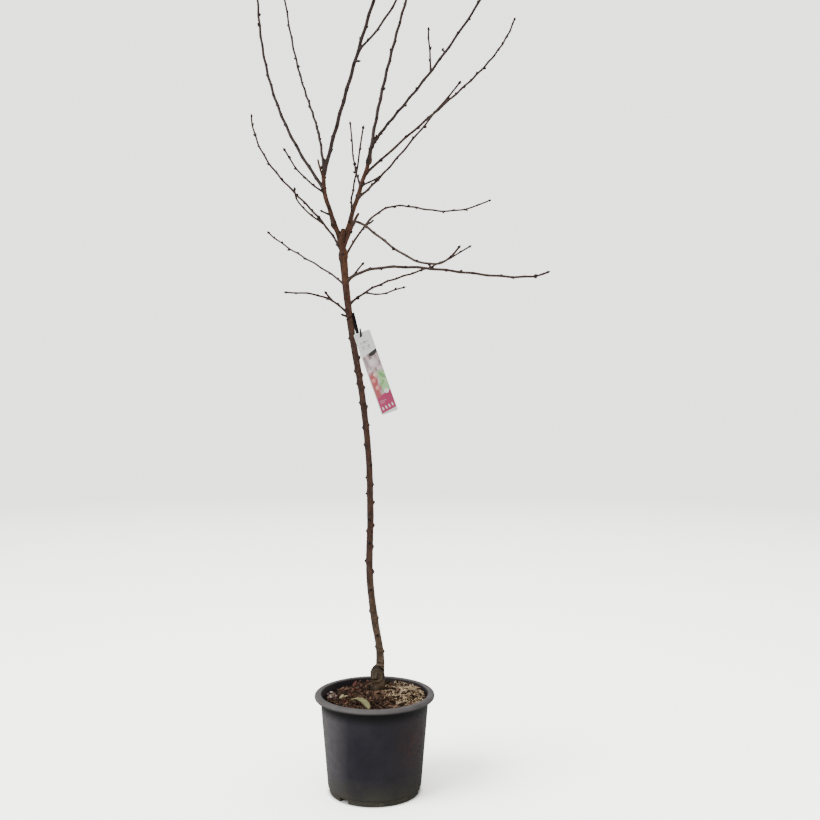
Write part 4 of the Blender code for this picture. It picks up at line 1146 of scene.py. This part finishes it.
# How light each shoot's bark is: the low shoots that face the light are more olive and tan.
LIGHT_SHOOTS = {"long_right_shoot": 0.5, "arching_shoot": 0.85, "upper_right_shoot": 0.6,
                "low_right_shoot": 0.6, "right_mid_shoot": 0.5, "low_left_shoot": 0.4,
                "outer_left_shoot": 0.4, "mid_left_shoot": 0.4, "right_outer_leader": 0.35}
SHOOT_SIDES = 12
SHOOT_FINER = 8
TIP_BUD = 0.0095
SHOOT_BARK = 0.0008

# No shoot or bud reaches past the box of the solids.
within = 0.0004
least, most = np.array(cad_low) + within, np.array(cad_high) - within

shoots = Heap()
angles = np.linspace(0, 2 * math.pi, SHOOT_SIDES, endpoint=False)
for name, parent, share, tip, *shape in (*SHOOTS, *TWIGS):
    lines[name] = stem_line(parent, share, tip, *shape)
    parent_radius = place_on(lines[parent], share)[1] / 2
    points, radii = fine_line(name, SHOOT_FINER)
    runs = runs_along(points)
    total = runs[-1]
    keep = runs < total - TIP_BUD * 0.6
    points, radii, runs = points[keep], radii[keep], runs[keep]
    near_node = np.minimum(np.arange(len(points)) % SHOOT_FINER,
                           SHOOT_FINER - np.arange(len(points)) % SHOOT_FINER) / SHOOT_FINER
    past_parent = np.clip(runs - parent_radius * 1.05, 0, None)
    collar = 0.85 * np.exp(-past_parent / 0.0065)
    swell = 0.11 * bell(near_node, 0.16)
    wave = np.array([noise.noise(Vector((s * 60.0, total * 9.0, 0.0))) for s in runs])
    collar = np.minimum(collar, parent_radius * 0.95 / radii[0] - 1 + 0.25)
    radii = radii * (1 + collar + swell + 0.05 * wave) + SHOOT_BARK
    lobes = np.array([[1 + 0.045 * noise.noise(Vector((math.cos(a) * 1.5, math.sin(a) * 1.5, s * 110.0)))
                       for a in angles] for s in runs])
    corners, faces = swept(points, radii[:, None] * lobes, SHOOT_SIDES)
    around = np.stack([np.outer(radii, np.cos(angles)).ravel(), np.outer(radii, np.sin(angles)).ravel(),
                       np.repeat(runs, SHOOT_SIDES) + 7.0 * total], axis=1)
    tone = LIGHT_SHOOTS.get(name, LIGHT_SHOOTS.get(parent, 0.12))
    shoots.add(np.clip(corners, least, most), faces, tone,
               bark_place=np.vstack([around, [(0, 0, 7.0 * total), (0, 0, 8.0 * total)]]),
               towards_tip=np.concatenate([np.repeat(runs / total, SHOOT_SIDES), [0.0, 1.0]]))

look = Look("young bark", 0.48, 0.4)
skin = bark_skin(look, 0.0016, 0.3)
blotched = spread(skin["Blotch"], 0.35, 0.65)
dark = mixed(blotched, (0.0120, 0.0046, 0.0030), (0.034, 0.0125, 0.0070))
light = mixed(blotched, (0.046, 0.0195, 0.0105), (0.100, 0.047, 0.0240))
look.ground(look.mark("tone"), dark, light)
look.over(look.mark("towards_tip"), (0.026, 0.0085, 0.0060), 0.35)
look.over(skin["Bloom"], (0.058, 0.034, 0.026))
look.over(skin["Pores"], (0.115, 0.072, 0.046), 0.45)
# Painted light and shade: the shoots are made lighter on their right side and darker on their left.
look.colour = scaled(look.colour, spread(skin["Painted light and shade"], 0.0, 1.0, 0.6, 1.6))
shoot_finish = look.finish(maths("ADD", skin["Grain"], skin["Pores"]), 0.00022, 0.8,
                           spread(skin["Bloom"], 0.0, 0.5, 0.42, 0.66))
shoots.piece("winter_shoots", "shoots", shoot_finish, *[shoot[0] for shoot in SHOOTS], sharp=None)


# Winter buds: narrow brown leaf buds at every node, plump grey flower buds beside some of
# them, and one at each tip. Each sits on the cushion that its fallen leaf has left.

BUD_TURN = 144.0
BUD_CHANCE = 0.55
BUD_REACH = (0.0035, 0.0065)
BUD_FREE_FOOT = 0.025
BUD_SIDES = 9
# Outline of a bud from base to tip: share of its length, and of its half width.
BUD_OUTLINE = ((0.0, 0.62), (0.13, 0.88), (0.25, 1.0), (0.27, 0.93), (0.42, 0.96), (0.56, 0.84),
               (0.58, 0.76), (0.74, 0.58), (0.76, 0.50), (0.90, 0.24), (1.0, 0.05))
CUSHION_OUTLINE = ((0.0, 0.35), (0.2, 0.85), (0.5, 1.0), (0.8, 0.8), (1.0, 0.35))


def ovoid(outline, base, direction, length, width, flatness=1.0):
    """Small closed solid with a turned outline, set at a base and pointed in a direction."""
    profile = [(half * width / 2, share * length) for share, half in reversed(outline)]
    points, faces = turned([(0.0, length * 1.01), *profile, (0.0, 0.0)], BUD_SIDES)
    rows = np.array(direction.to_track_quat("Z", "Y").to_matrix())
    return np.array(points) * (1.0, flatness, 1.0) @ rows.T + np.array(base), faces


buds = Heap()


def grow_bud(rng, centre, out, along, radius, size, flowers):
    """A leaf bud on its cushion, and the flower buds beside it."""
    side = along.cross(out).normalized()
    skin_point = centre + out * radius * 0.82
    lean = (out * 0.62 + along).normalized()
    buds.add(*ovoid(CUSHION_OUTLINE, skin_point - along * 0.0028, along, 0.0054, 0.0046 + radius * 0.4),
             0.05)
    buds.add(*ovoid(BUD_OUTLINE, skin_point, lean, size, size * 0.60, 0.85), rng.uniform(0.10, 0.35))
    for turn_side in flowers:
        slant = (lean + side * turn_side * 0.45).normalized()
        start = skin_point + side * turn_side * 0.0012
        buds.add(*ovoid(BUD_OUTLINE, start, slant, size * rng.uniform(0.85, 1.05), size * 0.72),
                 rng.uniform(0.65, 1.0))


for name in [stem[0] for stem in (*LIMBS[:3], *SHOOTS, *TWIGS)]:
    points, widths = lines[name]
    rng = random.Random(name)
    travelled = 0.0
    for index in range(1, len(points) - 1):
        travelled += (points[index] - points[index - 1]).length
        grows = rng.random() < BUD_CHANCE
        reach = rng.uniform(*BUD_REACH)
        if travelled < BUD_FREE_FOOT:
            continue
        along = (points[index + 1] - points[index - 1]).normalized()
        out = Matrix.Rotation(math.radians(BUD_TURN * index), 3, along) @ along.orthogonal().normalized()
        pick = random.Random(name + str(index))
        flowers = ()
        if grows and len(points) > 5:
            flowers = ((-1,), (1,), (-1, 1), ())[pick.randrange(4)]
        size = reach * 1.45 if grows else max(reach * 1.2, 0.0060)
        grow_bud(pick, points[index], out, along, widths[index] / 2, size, flowers)
    # The tip's own bud, which ends where the shoot does.
    if name not in ("left_limb", "right_limb", "arch_stem"):
        along = (points[-1] - points[-2]).normalized()
        base = points[-1] - along * TIP_BUD
        buds.add(*ovoid(BUD_OUTLINE, base, along, TIP_BUD, 0.0060), 0.3)
        side = along.orthogonal().normalized()
        for way in (-1.0, 1.0):
            slant = (along + side * 0.55 * way).normalized()
            buds.add(*ovoid(BUD_OUTLINE, base + side * 0.0012 * way, slant, 0.0062, 0.0040), 0.6)
for index, (height, degrees, size) in enumerate(LEDGES):
    pick = random.Random("trunk" + str(index))
    width = smooth_through(2, height) / 2
    grow_bud(pick, trunk_point(height), outward(degrees), Vector((0.0, 0.0, 1.0)),
             width + 0.0022 * size, 0.0056 * size, ((), (-1,), (1,))[pick.randrange(3)])
buds.points = [np.clip(points, least, most) for points in buds.points]
buds.piece("winter_buds", "shoots", litter_material(
    "winter buds", 0.7, 1500.0, 0.00025, (0.0090, 0.0048, 0.0036), (0.020, 0.0100, 0.0070),
    (0.040, 0.026, 0.020), (0.062, 0.046, 0.038)))


# Strap: a black polypropylene band that loops round the trunk, hangs down beside it and is
# threaded from behind through the label's slot, with its end turned up in front.

TAG_WIDTH = 0.044
TAG_LENGTH = 0.221
TAG_CORNER = 0.004
TAG_TILT = 19.5
TAG_DEPTH = 0.0115
TAG_TOP = 0.0466
TAG_ASIDE = 0.0055
SLOT_DROP = 0.0592
SLOT_SIZE = (0.0075, 0.0028)
SLOT_CORNER = 0.0012
STRAP_HANG = (-0.0545, 0.0205, 1.236)
STRAP_LOOP_HEIGHT = 1.231
STRAP_LOOP_RADIUS = 0.0105
STRAP_LOOP_TILT = 25.0
STRAP_LOOP_WIDTH = 0.0022
STRAP_THICKNESS = 0.0008
STRAP_BEAD = 0.32 * STRAP_THICKNESS

hang = (Matrix.Translation(STRAP_HANG) @ Matrix.Rotation(math.radians(-TAG_TILT), 4, "Y")
        @ Matrix.Rotation(math.radians(90.0), 4, "X"))
label_depth = STRAP_HANG[1] - TAG_DEPTH
# Places down the band: how far aside, drop along the label, depth towards the viewer and width.
strap_run = [(0.0005, -0.0085, 0.0, 0.0088), (-0.0022, 0.0190, 0.0015, 0.0092),
             (-0.0046, SLOT_DROP - 0.0150, label_depth - 0.0036, 0.0090),
             (-0.0026, SLOT_DROP - 0.0050, label_depth - 0.0030, 0.0074),
             (-0.0004, SLOT_DROP - 0.0006, label_depth - 0.0012, 0.0066),
             (0.0, SLOT_DROP, label_depth, 0.0062)]
strap_end = [(0.0, SLOT_DROP + 0.0003, label_depth - 0.0006, 0.0050),
             (0.0006, SLOT_DROP - 0.0016, label_depth + 0.0017, 0.0050),
             (0.0030, SLOT_DROP - 0.0110, label_depth + 0.0024, 0.0048),
             (0.0054, SLOT_DROP - 0.0225, label_depth + 0.0014, 0.0044)]


def rounded_outline(width, height, centre, corner, steps):
    """Corners of a rectangle with round corners, from right to left over its top."""
    outline = []
    for side_x, side_y, start in ((1, 1, 0), (-1, 1, 90), (-1, -1, 180), (1, -1, 270)):
        for degrees in np.linspace(start, start + 90, steps):
            angle = math.radians(degrees)
            outline.append((centre[0] + side_x * (width / 2 - corner) + corner * math.cos(angle),
                            centre[1] + side_y * (height / 2 - corner) + corner * math.sin(angle)))
    return outline


strap = Heap()


def add_band(path, across, widths, closed=False):
    """Adds a flat band with rounded edges to the strap, with how far along it each point is."""
    ahead = np.roll(path, -1, axis=0) - np.roll(path, 1, axis=0) if closed else np.gradient(path, axis=0)
    level = np.cross(ahead, across)
    level /= np.linalg.norm(level, axis=1)[:, None]
    points = [centre + across * a + out * b
              for centre, out, width in zip(path, level, np.broadcast_to(widths, len(path)))
              for a, b in rounded_outline(width, STRAP_THICKNESS, (0.0, 0.0), STRAP_BEAD, 3)]
    rings, count = len(path), len(points) // len(path)
    faces = []
    for ring in range(rings if closed else rings - 1):
        a, b = ring * count, (ring + 1) % rings * count
        faces += [(a + j, a + (j + 1) % count, b + (j + 1) % count, b + j) for j in range(count)]
    if not closed:
        faces += [tuple(reversed(range(count))), tuple(range((rings - 1) * count, rings * count))]
    strap.add(points, faces, run=np.repeat(runs_along(path), count))


hang_rows = np.array(hang)
for run in (strap_run, strap_end):
    stations = finer([(aside, -drop, depth, width) for aside, drop, depth, width in run], 8)
    add_band(stations[:, :3] @ hang_rows[:3, :3].T + hang_rows[:3, 3], hang_rows[:3, 0], stations[:, 3])
tilt = np.array(Matrix.Translation(trunk_point(STRAP_LOOP_HEIGHT))
                @ Matrix.Rotation(math.radians(-STRAP_LOOP_TILT), 4, "Y"))
loop_path = []
for angle in np.linspace(0, 2 * math.pi, 64, endpoint=False):
    reach = STRAP_LOOP_RADIUS * (1 + 0.02 * math.cos(2 * angle))
    loop_path.append((reach * math.cos(angle), reach * math.sin(angle), 0.0003 * math.sin(3 * angle)))
add_band(np.array(loop_path) @ tilt[:3, :3].T + tilt[:3, 3], tilt[:3, 2], STRAP_LOOP_WIDTH, True)
# Pinched eye that closes the loop round the top of the band.
eye = hang @ Matrix.Translation((0.0, -0.0010, 0.0004)) @ Matrix.Diagonal((0.0080, 0.0090, 0.0030, 1.0))
cage = bmesh.new()
bmesh.ops.create_cube(cage, size=1.0, matrix=eye)
bmesh.ops.bevel(cage, geom=cage.edges[:], offset=0.0009, segments=3, profile=0.5, affect="EDGES")
strap.add(*listed(cage), run=0.0)

look = Look("band plastic", 0.6, 0.12)
look.ground(spread(speckle(look.place, 160.0), 0.3, 0.7),
            (0.0030, 0.0030, 0.0034), (0.0060, 0.0060, 0.0068))
grain = look.dusty(0.012, 0.15, (0.03, 0.029, 0.028))
teeth = maths("SINE", times(look.mark("run"), 5200.0))
band_finish = look.finish(teeth, 0.00003, 0.4, spread(grain, 0.3, 0.7, 0.54, 0.66))
strap.piece("label_band", "strap", band_finish, "label_strap", sharp=60.0)


# Label: a strip of white polypropylene film, die-cut with round corners and a slot, printed
# on the front only and a little bowed and twisted by the weather.

FILM = 0.00045
TAG_BOW = 0.0016

tag_centre = (TAG_ASIDE, -TAG_TOP - TAG_LENGTH / 2)
cage = bmesh.new()
border = rounded_outline(TAG_WIDTH, TAG_LENGTH, tag_centre, TAG_CORNER, 7)
slot_outline = rounded_outline(*SLOT_SIZE, (0.0, -SLOT_DROP), SLOT_CORNER, 4)
for outline in (border, slot_outline):
    ring = [cage.verts.new((x, y, 0.0)) for x, y in outline]
    for a, b in zip(ring, ring[1:] + ring[:1]):
        cage.edges.new((a, b))
bmesh.ops.triangle_fill(cage, use_beauty=True, use_dissolve=False, edges=cage.edges[:])
for across, size, count in ((0, TAG_WIDTH, 16), (1, TAG_LENGTH, 72)):
    low, high = tag_centre[across] - size / 2, tag_centre[across] + size / 2
    normal = [0.0, 0.0, 0.0]
    normal[across] = 1.0
    for cut_at in np.linspace(low, high, count + 1)[1:-1]:
        spot = [0.0, 0.0, 0.0]
        spot[across] = float(cut_at)
        bmesh.ops.bisect_plane(cage, geom=cage.verts[:] + cage.edges[:] + cage.faces[:],
                               plane_co=spot, plane_no=normal, dist=1e-7)
bmesh.ops.recalc_face_normals(cage, faces=cage.faces[:])
if sum(face.normal.z * face.calc_area() for face in cage.faces) < 0:
    bmesh.ops.reverse_faces(cage, faces=cage.faces[:])
sheet = cage.loops.layers.uv.new("print")
for face in cage.faces:
    for corner in face.loops:
        x, y = corner.vert.co[:2]
        corner[sheet].uv = ((x - TAG_ASIDE) / TAG_WIDTH + 0.5, 1 + (y + TAG_TOP) / TAG_LENGTH)
for vert in cage.verts:
    x, y = vert.co[:2]
    x -= TAG_ASIDE
    down = -(y + TAG_TOP) / TAG_LENGTH
    bow = TAG_BOW * (4 * (x / TAG_WIDTH) ** 2 - 0.4) * down
    twist = 0.05 * x * down * down
    vert.co.z = label_depth - bow + twist + 0.0009 * math.sin(down * 5.0) * down
cage.transform(hang)
tag = cage_piece("printed_label", cage)
tag.data.shade_smooth()
modify(tag, "SOLIDIFY", thickness=FILM, offset=0.0, use_even_offset=True, material_offset=1,
       material_offset_rim=1)

look = Look("printed film", 0.32, 0.45)
wide, tall = 1000 * TAG_WIDTH, 1000 * TAG_LENGTH
sheet_place = node(look.tree, "UVMap", uv_map="print").outputs["UV"]
print_place = vector_maths("MULTIPLY_ADD", sheet_place, (wide, -tall, 0.0), (0.0, tall, 0.0))
right, down = axis(print_place, "X"), axis(print_place, "Y")


def print_shape(x, y, width, height, lean=0.0, edge=0.12):
    """Mask of a leaning oval on the label, placed and sized in millimetres from its top left."""
    moved = vector_maths("SUBTRACT", print_place, (x, y, 0.0))
    if lean:
        moved = node(look.tree, "VectorRotate", {"Vector": moved, "Angle": math.radians(lean)},
                     rotation_type="Z_AXIS").outputs[0]
    reach = vector_maths("LENGTH", stretched(moved, 1.0 / width, 1.0 / height, 0.0))
    return spread(reach, 1.0 + edge / width, 1.0 - edge / width)


def blossom(x, y, petals, first, reach, size, middle, mask, shade, heart):
    """Prints a ring of round petals about a small round middle."""
    for step in range(petals):
        angle = math.radians(360 / petals * step + first)
        petal = print_shape(x + reach * math.cos(angle), y + reach * math.sin(angle), size, size)
        look.over(times(petal, mask), shade)
    look.over(times(print_shape(x, y, middle, middle), mask), heart)


def past_slant(lean, start):
    """Mask of all that lies below a slanted line across the label."""
    return spread(maths("MULTIPLY_ADD", right, lean, down), start, start + 0.6)


def rule(at, half, core, end, solid_end, mask):
    """Mask of a thin level line that starts at the left, with soft edges."""
    away = maths("ABSOLUTE", maths("SUBTRACT", down, at))
    return times(spread(away, half, core), spread(right, 7.0, 7.6), spread(right, end, solid_end), mask)


look.ground(spread(speckle(print_place, 0.05, 2.0), 0.3, 0.7), (0.93, 0.93, 0.92), (0.96, 0.96, 0.96))
# Broken grey rules across the white head of the label.
broken = spread(speckle(stretched(print_place, 1.0, 0.3, 0.0), 0.30, 2.0), 0.42, 0.52)
for at, strength in ((26.0, 1.0), (29.5, 0.7), (37.5, 1.0), (41.0, 0.8), (44.5, 0.6)):
    look.over(rule(at, 1.4, 0.9, 32.0, 31.0, broken), (0.20, 0.20, 0.24), strength)
# The picture: misty mauve ground between slanted edges, coral at the left and leaf green at the
# right of its lower half, with a white border on both sides.
sides = times(spread(right, 2.0, 2.4), spread(right, 43.4, 43.0))
below_picture = past_slant(0.30, 176.0)
panel = times(past_slant(0.30, 64.5), maths("SUBTRACT", 1.0, below_picture), sides)
cloud = speckle(stretched(print_place, 1.0, 0.45, 0.0), 0.12, 4.0)
picture = mixed(spread(cloud, 0.35, 0.65), (0.25, 0.175, 0.175), (0.84, 0.68, 0.68))
lower = spread(down, 102.0, 118.0)
picture = mixed(times(lower, spread(right, 21.0, 14.0)), picture, (0.50, 0.105, 0.115))
picture = mixed(times(lower, spread(right, 22.0, 27.0)), picture, (0.40, 0.70, 0.32))
look.over(panel, picture)
# Leaves, round fruits and blossoms: place, size, slant and colours.
for *shape, shade in ((33.5, 58.5, 6.6, 14.0, -62.0, (0.030, 0.026, 0.026)),
                      (9.0, 82.0, 3.0, 12.0, 20.0, (0.40, 0.34, 0.37)),
                      (35.0, 122.0, 4.0, 12.0, 34.0, (0.22, 0.46, 0.16)),
                      (30.0, 141.0, 3.6, 12.0, -46.0, (0.26, 0.52, 0.20)),
                      (39.0, 138.0, 3.0, 9.0, 12.0, (0.55, 0.74, 0.42))):
    look.over(times(print_shape(*shape), panel), shade)
for x, y, radius, shade, cheek in ((25.0, 86.0, 13.0, (0.68, 0.54, 0.55), (0.90, 0.79, 0.78)),
                                   (12.0, 131.0, 8.5, (0.46, 0.07, 0.09), (0.88, 0.33, 0.27)),
                                   (15.0, 151.0, 7.5, (0.50, 0.10, 0.12), (0.90, 0.42, 0.36)),
                                   (19.0, 116.0, 5.5, (0.84, 0.50, 0.38), (0.92, 0.72, 0.58))):
    warm = print_shape(x - radius * 0.3, y - radius * 0.25, radius * 0.7, radius * 0.7, 0.0, radius * 0.45)
    fruit = times(print_shape(x, y, radius, radius * 0.95), panel)
    look.over(fruit, mixed(warm, shade, cheek))
for x, y, petal in ((33.0, 101.0, 3.0), (10.0, 104.0, 2.6)):
    blossom(x, y, 5, 20, petal * 0.95, petal * 0.72, petal * 0.34, panel,
            (0.88, 0.66, 0.74), (0.70, 0.26, 0.32))
# Magenta foot with pale pips in a row, a white blossom over its upper edge, and thin pale rules.
foot = times(below_picture, maths("SUBTRACT", 1.0, past_slant(0.16, 218.0)), sides)
look.over(foot, (0.46, 0.045, 0.135))
for at, end in ((186.0, 24.0), (191.0, 19.0)):
    look.over(rule(at, 0.9, 0.5, end + 0.4, end, foot), (0.85, 0.62, 0.70), 0.6)
for step in range(4):
    pip = print_shape(9.0 + 9.0 * step, 206.0 - 1.4 * step, 1.9, 4.6, 8.0)
    look.over(times(pip, foot), (0.90, 0.82, 0.84))
blossom(33.0, 164.0, 6, 0, 3.4, 3.2, 1.8, 1.0, (0.90, 0.89, 0.88), (0.80, 0.66, 0.66))
grain = look.dusty(0.02, 0.12, (0.55, 0.53, 0.48))
printed = look.finish(speckle(look.place, 90.0, 2.0), 0.0006, 0.4, spread(grain, 0.3, 0.7, 0.26, 0.40))

look = Look("plain film", 0.40, 0.4)
look.colour = (0.80, 0.80, 0.79)
look.dusty(0.02, 0.3, (0.45, 0.43, 0.38))
for film in (printed, look.finish(speckle(look.place, 90.0, 2.0), 0.0006, 0.4)):
    tag.data.materials.append(film)
settle(tag)
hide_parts("label_tag")
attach(tag, "root")


# Studio: a plain pale floor, soft light from all round and a broad key from the upper left
# in front, and the camera at the height and distance of the photograph's. The floor and the
# background look brighter than they light, as they do where a camera has burnt them out.

SOFT_LIGHT = 0.70
BACKGROUND = 2.6
BACKGROUND_COLOUR = (1.0, 0.995, 0.965)
FLOOR_AS_SEEN = (4.2, 4.18, 4.06)
KEY_STRENGTH = 2.2
KEY_SOFTNESS = 40.0
KEY_TURN = (52.0, 0.0, -58.0)
CAMERA_LENS = 46.1
CAMERA_PLACE = (0.0922, -2.7137, 1.0773)
CAMERA_TILT = 0.0313

floor_points, floor_faces = turned([(0.0, 0.0), (0.5, 0.0), (3.0, 0.0), (12.0, 0.0), (45.0, 0.0),
                                    (45.0, -0.01), (0.0, -0.01)], 64)
floor = mesh_piece("studio_floor", floor_points, floor_faces)
look = Look("pale floor", 0.85, 0.1)
far = vector_maths("LENGTH", look.place)
seen = node(look.tree, "LightPath").outputs["Is Camera Ray"]
lit = mixed(spread(speckle(look.place, 3.0, 4.0), 0.3, 0.7), (0.80, 0.80, 0.79), (0.82, 0.82, 0.81))
# Under the pot's foot and in its notches the floor is left without the brightening, a painted contact
# shadow.
look.feed("Base Color", mixed(times(seen, spread(far, 0.116, 0.126)), lit, FLOOR_AS_SEEN))
# Far from the pot the floor runs into the bright background without a line.
haze = node(look.tree, "Emission", {"Color": (*BACKGROUND_COLOUR, 1.0), "Strength": BACKGROUND})
blend = node(look.tree, "MixShader", {0: times(spread(far, 1.5, 7.0), seen),
                                      1: look.shader.outputs[0], 2: haze.outputs[0]})
look.tree.links.new(blend.outputs[0], look.tree.nodes["Material Output"].inputs["Surface"])
floor.data.materials.append(look.material)
floor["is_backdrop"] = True

world = bpy.context.scene.world or bpy.data.worlds.new("soft studio")
bpy.context.scene.world = world
world.use_nodes = True
tree = world.node_tree
soft = tree.nodes["Background"]
soft.inputs["Color"].default_value = (1.0, 1.0, 0.985, 1.0)
soft.inputs["Strength"].default_value = SOFT_LIGHT
backdrop = node(tree, "Background", {"Color": (*BACKGROUND_COLOUR, 1.0), "Strength": BACKGROUND})
blend = node(tree, "MixShader", {0: node(tree, "LightPath").outputs["Is Camera Ray"],
                                 1: soft.outputs[0], 2: backdrop.outputs[0]})
tree.links.new(blend.outputs[0], tree.nodes["World Output"].inputs["Surface"])

key = bpy.data.lights.new("key", "SUN")
key.energy = KEY_STRENGTH
key.angle = math.radians(KEY_SOFTNESS)
placed("key", key).rotation_euler = [math.radians(degrees) for degrees in KEY_TURN]

camera = bpy.data.cameras.new("camera")
camera.sensor_width = 36.0
camera.lens = CAMERA_LENS
camera.clip_end = 200.0
viewer = placed("camera", camera)
viewer.location = CAMERA_PLACE
viewer.rotation_euler = (math.radians(90.0) - CAMERA_TILT, 0.0, 0.0)
bpy.context.scene.camera = viewer

low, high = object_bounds()
